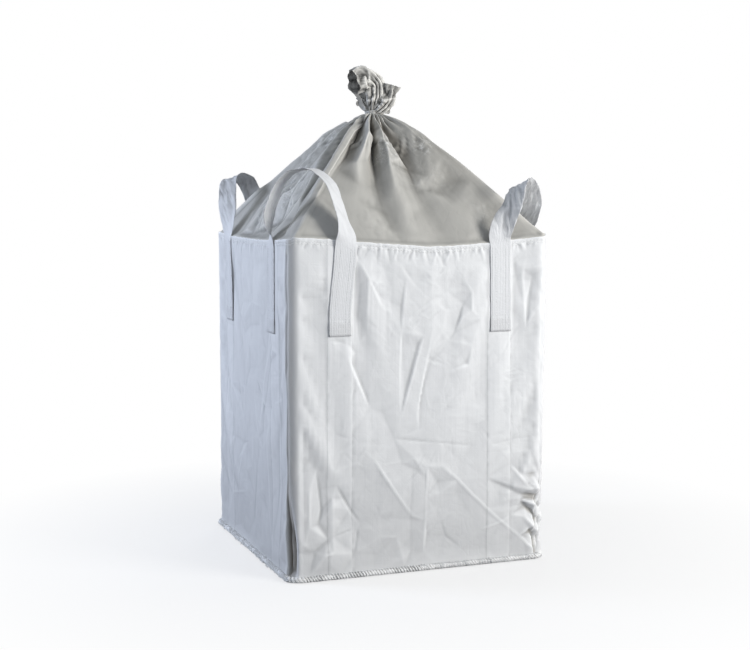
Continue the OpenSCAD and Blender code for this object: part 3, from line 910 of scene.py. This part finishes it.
FOLD_AT, FOLD_SHARE = (0.10, 0.25, 0.45, 0.7, 1.0), (0.35, 1.0, 0.95, 0.6, 0.2)    # along a rear fold
# Where the coated cloth is crinkled most: (x, y, reach), in metres
CRINKLED = [(0.14, -0.02, 0.04), (0.22, -0.05, 0.05), (0.30, -0.08, 0.05), (0.12, -0.17, 0.03),
            (-0.13, 0.06, 0.05), (-0.22, 0.10, 0.06), (-0.30, 0.03, 0.06), (-0.30, -0.08, 0.07),
            (-0.36, 0.08, 0.06), (-0.02, -0.19, 0.04), (0.16, 0.27, 0.07)]
NECK = 0.024                                   # radius of the gathered neck
SEWN = (0.048, 0.036, 0.023, 0.012, 0.003)     # rows sewn in behind the hem, down from the rim
THROAT = ((0.0205, -0.0085), (0.0182, -0.004), (0.0180, 0.006))    # rows in the tie: radius, height in it
SKIRT_LENGTH = 0.62                            # along the cloth, from rim to neck


def rear_folds(rng):
    """Folds of the rear slopes, not in the table: ridges and valleys in turn, fanning out from the neck."""
    made = []
    for i, deg in enumerate(np.arange(-14, 152, 11.5)):
        sign = 1 if i % 2 else -1
        turn, high = math.radians(deg + rng.uniform(-2.5, 2.5)), rng.uniform(8, 17) * sign
        stop = rng.uniform(0.55, 1.0)
        line = []
        for f, share in zip(FOLD_AT, FOLD_SHARE):
            if f > stop + 0.1:
                break
            bend = turn + rng.normal(0, 0.035)
            c, s = math.cos(bend), math.sin(bend)
            far = 40 + f * (WALL * 1000 / max(abs(c), abs(s)) - 60)
            line.append((far * c, far * s, high * share))
        made.append(line)
    return made


def valley_lines(lines, x, y, width):
    """1 on the lines where the cloth sinks most, fading to 0 a few widths away from them."""
    mark = np.zeros(x.shape)
    for line in lines:
        for (x0, y0, d0), (x1, y1, d1) in zip(line, line[1:]):
            if min(d0, d1) < 0:
                ax, ay, dx, dy = x0 / 1000, y0 / 1000, (x1 - x0) / 1000, (y1 - y0) / 1000
                t = np.clip(((x - ax) * dx + (y - ay) * dy) / (dx * dx + dy * dy), 0, 1)
                gap = np.hypot(x - ax - t * dx, y - ay - t * dy)
                mark = np.maximum(mark, smooth(-(d0 + (d1 - d0) * t), 2, 14) * bump(gap, 0, width))
    return mark


def build_skirt():
    """The gathered cone of thin cloth, from behind the hem up into the tie."""
    rows, cols = 104, 620
    s, face, a, _, normal = round_wall(cols)
    at, ring = np.mod(s - body_s[0], PERIMETER) + body_s[0], np.r_[body_s, body_s[0] + PERIMETER]
    edge = body_grid[-1, :, :2]
    rim = np.stack([np.interp(at, ring, np.r_[column, column[0]]) for column in edge.T], 1)
    inner = rim - normal * 0.0035
    even = rolled(inner, 4, 0)
    reach, phi, lift = np.linalg.norm(even, axis=1), np.arctan2(even[:, 1], even[:, 0]), rim_lift(face, a)
    x = np.linspace(1, 0, rows) ** 1.12          # 1 at the rim, 0 at the neck
    x2, top = x[:, None], TIE - 0.007
    r = NECK + (reach - NECK) * x2 ** 0.8        # fuller near the neck than a straight cone
    X, Y = r * np.cos(phi), r * np.sin(phi)
    xyz = np.stack([X, Y, top + (RIM + lift - top) * x2], -1)
    far = np.hypot(X, Y) - NECK

    rng = np.random.default_rng(5)
    flat = xyz[..., :2].reshape(-1, 2)
    plan = lambda *given: plan_field(*given, flat, rng).reshape(rows, cols)
    fold_lines = SKIRT_FOLDS + rear_folds(rng)
    folds = plan(fold_lines, 0.085, 0.0022)
    sunk = valley_lines(fold_lines, X, Y, 0.0065)
    small = plan([], 0.030, 0.0016)
    tiny = plan([], 0.014, 0.0009)
    patch = 0.35 * smooth(value_noise(X + 3, Y + 3, 0.13, rng), 0.1, 0.7)
    for px, py, size in CRINKLED:
        patch = np.maximum(patch, 1.6 * bump(np.hypot(X - px, Y - py), 0, size))
    soft = rolled(rolled(folds, 5, 1), 3, 0)
    folds = (np.roll(folds, 1, 1) + 2 * folds + np.roll(folds, -1, 1)) / 4
    ease = 0.85 * smooth(far, 0.12, 0.30) * smooth(x2, 0.97, 0.90) * (1 - 0.7 * smooth(X, -0.2, -0.33))
    folds = (folds + (soft - folds) * ease) * (1.35 + 0.60 * smooth(far, 0.32, 0.12))
    body_fade = smooth(far, 0.0, 0.07) * smooth(x2, 1.0, 0.93)
    pleat = np.cos(24 * phi + 1.3 * np.sin(5 * phi)) * 0.0050
    pleat = pleat * smooth(far, 0.13, 0.02) * smooth(far, 0.0, 0.008)
    push = (folds + (small + 1.3 * tiny) * (0.10 + 1.35 * patch)) * body_fade + pleat
    xyz = xyz + grid_normals(xyz) * push[..., None]
    picked = np.unique(np.r_[np.arange(0, rows, 3), rows - 1])
    pin = np.maximum(smooth(x[picked], 0.97, 1.0), smooth(x[picked], 0.30, 0.14))
    pin = np.repeat(pin[:, None], cols // COARSE, 1)
    xyz = sagged(xyz, picked, pin, 1.0, grow=0.003, cap=0.006, bend=1.0)

    # painted shade: dark in the folds and pleats near the neck, and greyer on the front right slope
    high = relief(xyz, 2) * smooth(x2, 0.95, 0.85)
    shade = 0.74 * smooth(-(folds * body_fade + 0.9 * pleat), 0.001, 0.018) * smooth(far, 0.36, 0.06)
    shade += 0.34 * bump(np.hypot(xyz[..., 0] - 0.24, xyz[..., 1] + 0.17), 0, 0.17)
    shade = np.maximum(shade, 0.75 * smooth(-pleat, 0.0016, 0.0036) * smooth(far, 0.12, 0.03))
    shade = np.maximum(shade, 0.85 * sunk * smooth(far, 0.42, 0.06))
    sewn = [np.c_[inner, RIM + lift - down] for down in SEWN]
    xyz[0] = np.c_[inner, RIM + lift - 0.0005]
    throat = [np.c_[q * np.cos(phi), q * np.sin(phi), np.full(cols, TIE + h)] for q, h in THROAT]

    def with_ends(values, neck=0.0):
        return np.vstack([np.zeros((len(sewn), cols)), values, np.full((len(throat), cols), neck)])

    # the rows in the tie get painted shade; relief drives painted shade and highlight, and glint places
    # painted highlights
    return make_mesh("duffle_skirt_cloth", np.concatenate([sewn, xyz, throat]),
                     grid_faces(rows + len(sewn) + len(throat), cols),
                     grid_uv(s, np.r_[np.negative(SEWN), (1 - x) * SKIRT_LENGTH, 0.623, 0.628, 0.64]),
                     relief=with_ends(np.clip(high / 0.0014, -1, 1)), shade=with_ends(shade, 0.4),
                     glint=with_ends(np.clip(0.60 * patch * body_fade - 0.1, 0, 0.65)))


# Lobes of the tuft: middle line as (to the viewer's right, towards the viewer, up), radii across and deep, in
# millimetres; waves round it as (how many, how high, phase); and how crumpled it is, in metres
LOBES = [
    dict(line=[(0, 0, -4), (2, 4, 28), (7, 8, 62), (3, 12, 95), (-32, 16, 111), (-67, 40, 101)],
         across=[19, 23, 30, 37, 42, 42], deep=[18, 22, 28, 32, 34, 31],
         waves=((3, 0.08, 0.3), (5, 0.06, 1.0), (8, 0.05, 2.0)), crumple=0.0085, seed=3),
    dict(line=[(2, 0, -4), (20, 8, 10), (42, 10, 34), (54, 12, 66), (62, 14, 92)],
         across=[17, 26, 32, 27, 34], deep=[15, 20, 25, 18, 26],
         waves=((3, 0.12, 1.3), (5, 0.14, 0.2), (9, 0.05, 2.6)), crumple=0.0080, seed=8),
    dict(line=[(0, -2, -4), (2, -14, 22), (6, -30, 50), (8, -46, 74), (0, -60, 88)],
         across=[17, 26, 36, 42, 40], deep=[15, 20, 24, 26, 24],
         waves=((3, 0.18, 0.9), (5, 0.20, 2.2), (9, 0.06, 0.4)), crumple=0.0080, seed=12),
    dict(line=[(3, 2, -4), (16, 4, 8), (38, 6, 12), (60, 6, 8)],
         across=[14, 15, 14, 11], deep=[12, 14, 14, 12],
         waves=((3, 0.2, 0.2), (5, 0.16, 1.2), (8, 0.08, 0.6)), crumple=0.0035, seed=21),
    dict(line=[(-3, -4, -4), (-16, -2, 22), (-34, 2, 44), (-52, 4, 46)],
         across=[14, 17, 18, 17], deep=[12, 12, 12, 10],
         waves=((3, 0.2, 1.2), (5, 0.2, 0.4), (8, 0.08, 1.6)), crumple=0.0035, seed=30),
]
VIEWER = np.array([(0.934, -0.358, 0.0), (-0.358, -0.934, 0.0), (0.0, 0.0, 1.0)])    # right, nearer, up


def build_tuft():
    """The loose end of the duffle above the tie: gathered lobes of one cloth, crumpled open."""
    verts, faces, uvs, heights, shades = [], [], [], [], []
    n, cols = 54, 132
    t, th = np.linspace(0, 1, n), angles(cols)
    t2 = t[:, None]
    for lobe in LOBES:
        rng = np.random.default_rng(lobe["seed"])
        centre = catmull(lobe["line"], n) / 1000 @ VIEWER
        ra, rd = (spread_out(lobe[key], n)[:, None] / 1000 for key in ("across", "deep"))
        tangent = unit(np.gradient(centre, axis=0))
        near = unit(VIEWER[1] - tangent * (tangent @ VIEWER[1])[:, None])
        side = np.cross(near, tangent)
        wave = sum(amp * np.sin(k * th + ph + 1.4 * t2 * math.cos(k + ph)) for k, amp, ph in lobe["waves"])
        gather = np.abs(np.sin(5.5 * th + 0.5 * np.sin(3 * th)) + 0.25 * np.sin(5 * t2 + 3 * th))
        size = 1 + wave * smooth(t2, 0.05, 0.6)
        size += (0.26 * gather ** 0.6 - 0.16) * smooth(t2, 0.85, 0.25) * smooth(t2, -0.05, 0.12)
        ring = (side[:, None] * (np.cos(th) * ra * size)[..., None]
                + near[:, None] * (np.sin(th) * rd * size)[..., None])
        where = grid_uv((th / 2 / math.pi - 0.5) * 0.26, (t - 0.5) * 0.18).reshape(-1, 2)
        crumple = sum(plan_field([], cell, lobe["crumple"] * share, where, rng).reshape(n, cols)
                      for cell, share in ((0.027, 1.0), (0.012, 0.30)))
        crumple *= smooth(t2, 0.04, 0.3) * (1 - 0.65 * smooth(t2, 0.82, 1.0))
        crumple *= smooth(np.minimum(th, 2 * math.pi - th), 0.0, 0.5)
        ring = ring + unit(ring) * crumple[..., None]
        edge = line_noise(th * 2, 1.0, rng) * 0.006 + line_noise(th * 12, 1.0, rng) * 0.0012
        xyz = centre[:, None] + ring + tangent[:, None] * (edge * smooth(t2, 0.7, 1.0))[..., None] + UP * TIE
        faces += [[len(verts) + i for i in f] for f in grid_faces(n, cols)]
        verts.extend(xyz.reshape(-1, 3))
        uvs.extend(grid_uv(th * 0.2, t * 0.15).reshape(-1, 2))
        # relief for the material's painted shade and highlight; painted shade in the gathers low down and
        # towards each lobe's root
        heights.extend(np.clip(relief(xyz, 2) / 0.0013, -1, 1).ravel())
        inner = smooth(gather, 0.45, 0.05) * smooth(t2, 0.75, 0.2)
        shades.extend(np.clip(0.85 * inner + 0.35 * smooth(t2, 0.30, 0.0), 0, 1).ravel())
    obj = make_mesh("duffle_tuft_cloth", verts, faces, uvs, relief=heights, shade=shades)
    obj.data.set_sharp_from_angle(angle=math.radians(22))
    return obj


def tube_along(name, points, radius, sides, flat=1.0):
    """A closed tube along a line, its width times flat."""
    t = unit(np.gradient(points, axis=0))
    side = unit(np.cross(t, UP))
    top = np.cross(side, t)
    turn = angles(sides)[:, None]
    verts = points[:, None] + (side[:, None] * np.cos(turn) * flat + top[:, None] * np.sin(turn)) * radius
    return make_mesh(name, verts, tube_faces(len(points), sides))


def tie_tail(side, name, rng):
    """One loose tail of the tape, twisted, with a frayed end."""
    low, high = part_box("tie_tail_" + name)
    foot, tip_x = PIVOT["tail_swing_" + name], low.x if side < 0 else high.x
    n, across, half_t = 26, 9, 0.0005
    f, x = np.linspace(0, 1, n), np.linspace(-1, 1, across)
    centre = np.stack([foot.x + (tip_x - foot.x) * f ** 1.15 + 0.006 * np.sin(f * 4.4 + side) * f,
                       0.003 * np.sin(f * 6 + side), foot.z - 0.004 + (high.z - foot.z) * f], 1)
    half = 0.0072 * (1 + 0.10 * np.sin(f * 9))
    twist = -1.15 * smooth(f, 0.0, 0.35) + 0.25 * np.sin(f * 5 + side)
    wide = np.stack([np.sin(twist), np.cos(twist), f * 0], 1)[:, None]
    flat = np.stack([np.cos(twist), -np.sin(twist), f * 0], 1)[:, None]
    ring, thick = np.r_[x, x[::-1]][:, None], np.repeat([half_t, -half_t], across)[:, None]
    verts = centre[:, None] + ring * wide * half[:, None, None] + thick * flat
    fray = 0.004 * rng.uniform(-1, 1, across)
    verts[-1, :, 2] += np.r_[fray, fray[::-1]]
    return make_mesh("tie_tail_tape_" + name, verts, tube_faces(n, across * 2))


def build_tie():
    """Two turns of tape pulled tight round the neck, the knot behind, and two frayed tails."""
    turn = np.linspace(0, 4 * math.pi, 150)
    rng = np.random.default_rng(3)
    r = 0.0235 + 0.0012 * np.sin(turn * 5.3) + 0.0008 * np.sin(turn * 11 + 1)
    z = TIE - 0.0045 + 0.009 * turn / turn[-1] + 0.0012 * np.sin(turn * 1.5)
    start = math.pi / 2
    wraps = tube_along("tie_wraps", np.stack([r * np.cos(turn + start), r * np.sin(turn + start), z], 1),
                       0.0034, 14, flat=0.7)
    low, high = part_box("tie_knot")
    u = np.linspace(0, 2 * math.pi, 90)
    trefoil = [np.sin(u) + 2 * np.sin(2 * u), -1.1 * np.sin(3 * u), np.cos(u) - 2 * np.cos(2 * u)]
    knot = tube_along("tie_knot_tape", np.array((low + high) / 2) + np.stack(trefoil, 1) * 0.0026, 0.0033, 10)
    return wraps, knot, [tie_tail(side, name, rng) for side, name in ((-1, "left"), (1, "right"))]


def lap_stitches(skirt):
    """The closing seam of the duffle strip, down the rear slope."""
    tree = BVHTree.FromObject(skirt, bpy.context.evaluated_depsgraph_get())
    rows = []
    for y in np.arange(0.10, WALL - 0.03, 0.0095):
        start, n, *_ = tree.ray_cast(Vector((0, y, 3)), Vector((0, 0, -1)))
        end, *_ = tree.ray_cast(Vector((0, y + 0.0068, 3)), Vector((0, 0, -1)))
        if start is not None and end is not None:
            n = np.array(n) * (1 if n.z > 0 else -1)
            rows.append((np.array(start) + n * 0.0004, np.array(end) + n * 0.0004, n))
    return stitch_mesh("skirt_lap_stitches", rows, 0.0008)


loops, legs = {}, {}
for name in CORNERS:
    loops[name], legs[name] = build_loop(name)
hem = hem_stitches()
leg_rows = {name: leg_stitches(name, legs[name]) for name in CORNERS}
base, lip, overlock, filler = build_base()
skirt = build_skirt()
lap = lap_stitches(skirt)
tuft = build_tuft()
wraps, knot, tails = build_tie()


# ---------------------------------------------------------------- nodes
class Value:
    """An output of a node. Arithmetic on it adds math nodes to its tree."""

    def __init__(self, tree, socket):
        self.tree, self.socket = tree, socket

    def __add__(self, other):
        return self.tree.math("ADD", self, other)

    def __sub__(self, other):
        return self.tree.math("SUBTRACT", self, other)

    def __rsub__(self, other):
        return self.tree.math("SUBTRACT", other, self)

    def __mul__(self, other):
        return self.tree.math("MULTIPLY", self, other)


class Tree:
    """The nodes of a material or world. Each input is given as a value or as another node's output."""

    def __init__(self, owner):
        owner.use_nodes = True
        self.nodes, self.links = owner.node_tree.nodes, owner.node_tree.links
        self.nodes.clear()

    def add(self, kind, inputs=None, output=0, **settings):
        node = self.nodes.new("ShaderNode" + kind)
        for key, value in settings.items():
            setattr(node, key, value)
        for key, value in (inputs or {}).items():
            socket = node.inputs[key]
            if isinstance(value, Value):
                self.links.new(value.socket, socket)
            else:
                socket.default_value = (*value, 1) if socket.type == "RGBA" else value
        return Value(self, node.outputs[output]) if node.outputs else None

    def math(self, operation, *inputs):
        return self.add("Math", dict(enumerate(inputs)), operation=operation)

    def above(self, value, low):
        return self.math("MAXIMUM", value, low)

    def split(self, vector):
        return [self.add("SeparateXYZ", {0: vector}, i) for i in range(3)]

    def noise(self, vector, scale, detail=3, rough=0.55):
        inputs = {"Scale": scale, "Detail": detail, "Roughness": rough, "Vector": vector}
        return self.add("TexNoise", inputs, "Fac")

    def streaks(self, uv, across, along):
        """Noise drawn out into threads, from how many fit in a metre each way."""
        return self.noise(self.add("Mapping", {"Scale": (across, along, 1), "Vector": uv}), 1.0, 2)

    def cells(self, vector, scale):
        """Distance to the nearest edge between cells: 0 along crease lines."""
        return self.add("TexVoronoi", {"Scale": scale, "Vector": vector}, "Distance",
                        feature="DISTANCE_TO_EDGE")

    def mix(self, share, a, b):
        return self.add("Mix", {0: share, 6: a, 7: b}, 2, data_type="RGBA")

    def attribute(self, name):
        return self.add("Attribute", output="Fac", attribute_name=name)

    def ranged(self, value, low, high, to_low, to_high):
        return self.add("MapRange", {"Value": value, "From Min": low, "From Max": high,
                                     "To Min": to_low, "To Max": to_high})

    def raised(self, height, strength, distance):
        return self.add("Bump", {"Strength": strength, "Distance": distance, "Height": height})

    def surface(self, **inputs):
        """Ends a material with a Principled shader: its inputs are named with _ for each space."""
        inputs = {key.replace("_", " "): value for key, value in inputs.items()}
        self.add("OutputMaterial", {0: self.add("BsdfPrincipled", inputs)})


def new_material(name):
    mat = bpy.data.materials.new(name)
    return mat, Tree(mat)


# ---------------------------------------------------------------- materials
TAPE = 0.0026                                  # width of the woven tapes
# what painted shade from the "shade" attribute darkens towards: warm on the wall's cloth, grey on the rest
WARM_SHADE, SHADE = (0.27, 0.235, 0.18), (0.15, 0.132, 0.108)


def times(color, k):
    return tuple(min(1, c * k) for c in color)


def fabric_material(name, light, dark, rough, bands=False, sheen=0.15, crinkle=0.6, cavity=0.0, folds=0.3,
                    grain=0.75, glints=False):
    """Woven coated tape: crossing tapes of slightly different tone, fine crinkles and a soft sheen."""
    mat, t = new_material(name)
    uv, place = t.add("UVMap"), t.add("TexCoord", output="Object")
    u, v, _ = t.split(uv)
    weave = t.math("SINE", u * (math.pi / TAPE)) * t.math("SINE", v * (math.pi / TAPE))
    warp, weft, broad = t.streaks(uv, 330, 5), t.streaks(uv, 5, 330), t.streaks(uv, 95, 2.5)
    streak = warp * 0.42 + (weft * 0.30 + broad * 0.28)
    tone = streak * grain + t.noise(place, 5.0, 4) * (1.15 - grain) + weave * 0.06
    color = t.mix(tone - 0.1, dark, light)
    if bands:                                  # the denser bands the legs are sewn on, a thin line of painted shade along their edges, and painted shade darker towards the foot
        off = t.math("ABSOLUTE", t.math("ABSOLUTE", u) - LEG_A)
        color = t.mix(t.math("LESS_THAN", off, 0.0425) * 0.35, color, times(light, 1.06))
        wobble = t.streaks(uv, 1, 90) * 0.003
        line = t.math("LESS_THAN", t.math("ABSOLUTE", off - (wobble + 0.041)), 0.0008)
        color = t.mix(line * (t.streaks(uv, 1, 55) * 0.8), color, times(dark, 0.55))
        color = t.mix(t.ranged(t.split(place)[2], 0.0, 0.50, 0.33, 0.0), color, (0.36, 0.355, 0.35))
    # painted shade in the hollows and painted highlight on the ridges, by the relief attribute, then painted
    # shade by the shade attribute
    high = t.attribute("relief")
    color = t.mix(t.above(high * -1, 0) * folds, color, times(dark, 0.35))
    color = t.mix(t.above(high, 0) * (folds * 0.8), color, times(light, 1.35))
    color = t.mix(t.attribute("shade"), color, WARM_SHADE if bands else SHADE)
    wiggle = t.add("TexNoise", {"Scale": 9, "Vector": place}, "Color")
    wiggle = t.add("VectorMath", {0: wiggle, "Scale": 0.10}, operation="SCALE")
    warped = t.add("VectorMath", {0: place, 1: wiggle}, operation="ADD")
    if glints:                                 # painted highlights: thin broken lines and spots of near white, where the glint attribute allows
        thin = t.above(1.0 - t.cells(warped, 60) * 11.0, 0)
        broken = t.math("MINIMUM", t.above((t.noise(place, 38, 2) - 0.46) * 7.0, 0), 0.6)
        spots = t.math("MINIMUM", t.above((t.noise(place, 52, 5, 0.6) - 0.55) * 7.0, 0), 0.8)
        color = t.mix(t.above(thin * broken, spots) * t.attribute("glint"), color, (0.95, 0.95, 0.95))
    if cavity:                                 # painted shade in the folds, painted highlight on their edges
        point = t.add("NewGeometry", output="Pointiness")
        curve = t.ranged(point, 0.44, 0.56, 1.0 - cavity, 1.0 + cavity * 0.8)
        color = t.add("VectorMath", {0: color, "Scale": curve}, operation="SCALE")
    crease = t.math("SMOOTH_MIN", t.cells(warped, 26), 0.16, 0.1)
    height = crease * crinkle + t.noise(place, 60, 4, 0.6) * (0.25 * crinkle)
    height = height * (t.noise(place, 6.0, 2) * 1.4) + streak * (0.16 * grain) + weave * 0.02
    t.surface(Base_Color=color, Roughness=rough, Specular_IOR_Level=0.22 if glints else 0.35,
              Sheen_Weight=sheen, Sheen_Roughness=0.4, Normal=t.raised(height, 0.5, 0.006))
    return mat


def webbing_material(name, light, dark):
    """Ribbed webbing: rows of small chevrons along the length."""
    mat, t = new_material(name)
    uv, place = t.add("UVMap"), t.add("TexCoord", output="Object")
    u, v, _ = t.split(uv)
    rib = t.math("ABSOLUTE", t.math("SINE", u * (math.pi * RIBS / WEB)))
    picks = t.math("SINE", (v + t.math("PINGPONG", u, WEB / RIBS)) * (2 * math.pi / 0.0042))
    strand = t.streaks(uv, 500, 8)
    color = t.mix(rib * 0.25 + (strand * 0.6 + t.noise(place, 14.0, 4) * 0.35), dark, light)
    # painted shade in the hollows and painted highlight on the ridges, by the relief attribute, then painted
    # shade by the shade attribute
    high = t.attribute("relief")
    color = t.mix(t.above(high * -1, 0) * 0.55, color, times(dark, 0.40))
    color = t.mix(t.above(high, 0) * 0.35, color, (0.92, 0.92, 0.93))
    color = t.mix(t.attribute("shade"), color, SHADE)
    height = t.noise(place, 75.0, 3) * 1.8 + (picks * 0.12 + strand * 0.5)
    t.surface(Base_Color=color, Roughness=0.62, Specular_IOR_Level=0.3, Sheen_Weight=0.2,
              Normal=t.raised(height, 0.5, 0.0012))
    return mat


def thread_material(name, color):
    """Twisted thread."""
    mat, t = new_material(name)
    place = t.add("TexCoord", output="Object")
    twist = t.add("TexWave", {"Scale": 420, "Distortion": 2, "Vector": place}, "Fac")
    t.surface(Base_Color=t.mix(t.noise(place, 40, 3), times(color, 0.86), color), Roughness=0.6,
              Normal=t.raised(twist, 0.4, 0.0004))
    return mat


body_mat = fabric_material("bag_cloth", (0.83, 0.835, 0.84), (0.71, 0.715, 0.725), 0.48, bands=True,
                           crinkle=0.35, cavity=0.28, folds=0.19)
base_mat = fabric_material("base_cloth", (0.80, 0.80, 0.80), (0.68, 0.68, 0.69), 0.5, crinkle=0.3)
skirt_mat = fabric_material("duffle_cloth", (0.57, 0.555, 0.52), (0.46, 0.45, 0.42), 0.40, sheen=0.05,
                            crinkle=0.8, cavity=0.45, folds=0.42, grain=0.25, glints=True)
# the duffle cloth again, made darker to stand in for the shade in the crumpled tuft
tuft_mat = fabric_material("tuft_cloth", (0.52, 0.505, 0.475), (0.31, 0.30, 0.28), 0.42, crinkle=1.2,
                           cavity=0.7, folds=1.0, grain=0.4)
web_mat = webbing_material("loop_webbing", (0.80, 0.805, 0.815), (0.68, 0.685, 0.70))
thread_mat = thread_material("stitch_thread", (0.92, 0.92, 0.91))
leg_thread_mat = thread_material("leg_stitch_thread", (0.79, 0.795, 0.80))
lip_mat = fabric_material("seam_lip", (0.95, 0.95, 0.95), (0.80, 0.80, 0.80), 0.55, crinkle=0.8)
tape_mat = webbing_material("tie_tape", (0.56, 0.55, 0.53), (0.36, 0.355, 0.34))

# ---------------------------------------------------------------- the frame
# Pieces that ride on one body: (piece, material, body, slot, CAD node it stands for)
RIDING = [
    (body, body_mat, "bag", "bag_fabric", "body_tube"), (base, base_mat, "bag", "bag_fabric", "base_panel"),
    (filler, thread_mat, "bag", "thread", "filler_cord"), (lip, lip_mat, "bag", "bag_fabric", None),
    (overlock, thread_mat, "bag", "thread", "base_seam_thread"),
    (hem, thread_mat, "bag", "thread", "hem_thread"),
    (skirt, skirt_mat, "bag", "duffle_fabric", "duffle_skirt"),
    (lap, thread_mat, "bag", "thread", "skirt_lap_thread"),
    (wraps, tape_mat, "neck", "tie_tape", "tie_cord"), (knot, tape_mat, "neck", "tie_tape", "tie_knot"),
]
RIDING += [(obj, tape_mat, "tail_" + name, "tie_tape", "tie_tail_" + name)
           for obj, name in zip(tails, ("left", "right"))]
RIDING += [(leg_rows[name], leg_thread_mat, "bag", "thread", "leg_thread_" + name) for name in CORNERS]
for obj, mat, on, slot, node in RIDING:
    obj.data.materials.append(mat)
    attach(obj, on)
    if node:
        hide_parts(node)
for obj in (skirt, lap):                       # each gets a mesh of its own
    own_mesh(obj)
for name, obj in loops.items():
    obj.data.materials.append(web_mat)
    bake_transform(obj)
    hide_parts("loop_" + name, "loop_flex_" + name, "loop_legs_" + name)
tuft.data.materials.append(tuft_mat)
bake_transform(tuft)
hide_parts("duffle_tuft")

# ---------------------------------------------------------------- stage, light, camera
WHITE = (1, 1, 1)
scene = bpy.context.scene


def to_camera(tree, unseen, seen):
    """One shader as the camera sees it, another for all other light."""
    ray = tree.add("LightPath", output="Is Camera Ray")
    return tree.add("MixShader", {0: ray, 1: unseen, 2: seen})


# the floor: pale under the bag, glowing white further out, and dull grey to the light it sends back
bpy.ops.mesh.primitive_circle_add(vertices=96, radius=14, fill_type="NGON", location=(0, 0, 0))
floor = bpy.context.object
floor.name = "floor"
mat, t = new_material("pale_floor")
away = t.add("VectorMath", {0: t.add("TexCoord", output="Object")}, "Value", operation="LENGTH")
pale = t.add("BsdfPrincipled", {"Base Color": (0.95, 0.95, 0.95), "Roughness": 0.95})
glow = t.add("Emission", {"Color": WHITE, "Strength": 1.0})
seen = t.add("MixShader", {0: t.ranged(away, 0.55, 1.7, 0.62, 1.0), 1: pale, 2: glow})
dull = t.add("BsdfDiffuse", {"Color": (0.14, 0.14, 0.15)})
t.add("OutputMaterial", {0: to_camera(t, dull, seen)})
floor.data.materials.append(mat)

# the world: a white background, and blue-grey light that is dimmer overhead than at the horizon
world = bpy.data.worlds.new("studio")
scene.world = world
t = Tree(world)
up = t.split(t.add("TexCoord", output="Generated"))[2]
light = t.add("Background", {"Color": (0.84, 0.91, 1.0), "Strength": t.ranged(up, 0.05, 0.8, 0.92, 0.16)})
t.add("OutputWorld", {0: to_camera(t, light, t.add("Background", {"Color": WHITE}))})


def place_at(obj, place, towards):
    """Puts a light or camera in the scene, facing along a direction."""
    scene.collection.objects.link(obj)
    obj.location = place
    obj.rotation_mode = "QUATERNION"
    obj.rotation_quaternion = towards.to_track_quat("-Z", "Y")


for name, place, aim, size, power, color in [
        ("key", (4.2, -5.0, 2.3), 0.9, 2.8, 385, (1.0, 0.985, 0.955)),
        ("fill_left", (-4.4, 2.1, 2.3), 0.9, 1.6, 150, (0.74, 0.82, 1.0)),
        ("fill_rear", (2.4, 4.6, 2.4), 1.0, 1.8, 38, (0.95, 0.97, 1.0))]:
    data = bpy.data.lights.new(name, "AREA")
    data.shape, data.size, data.energy, data.color = "SQUARE", size, power, color
    place_at(bpy.data.objects.new(name, data), place, Vector((0, 0, aim)) - Vector(place))

scene.view_settings.view_transform = "Standard"
scene.view_settings.look = "None"

AZIMUTH, PITCH = math.radians(20.96), math.radians(5.35)
look = Vector((math.sin(AZIMUTH) * math.cos(PITCH), math.cos(AZIMUTH) * math.cos(PITCH), -math.sin(PITCH)))
data = bpy.data.cameras.new("camera")
data.lens, data.sensor_width = 65.93, 36
scene.camera = bpy.data.objects.new("camera", data)
place_at(scene.camera, (-1.7385, -4.5636, 1.236), look)
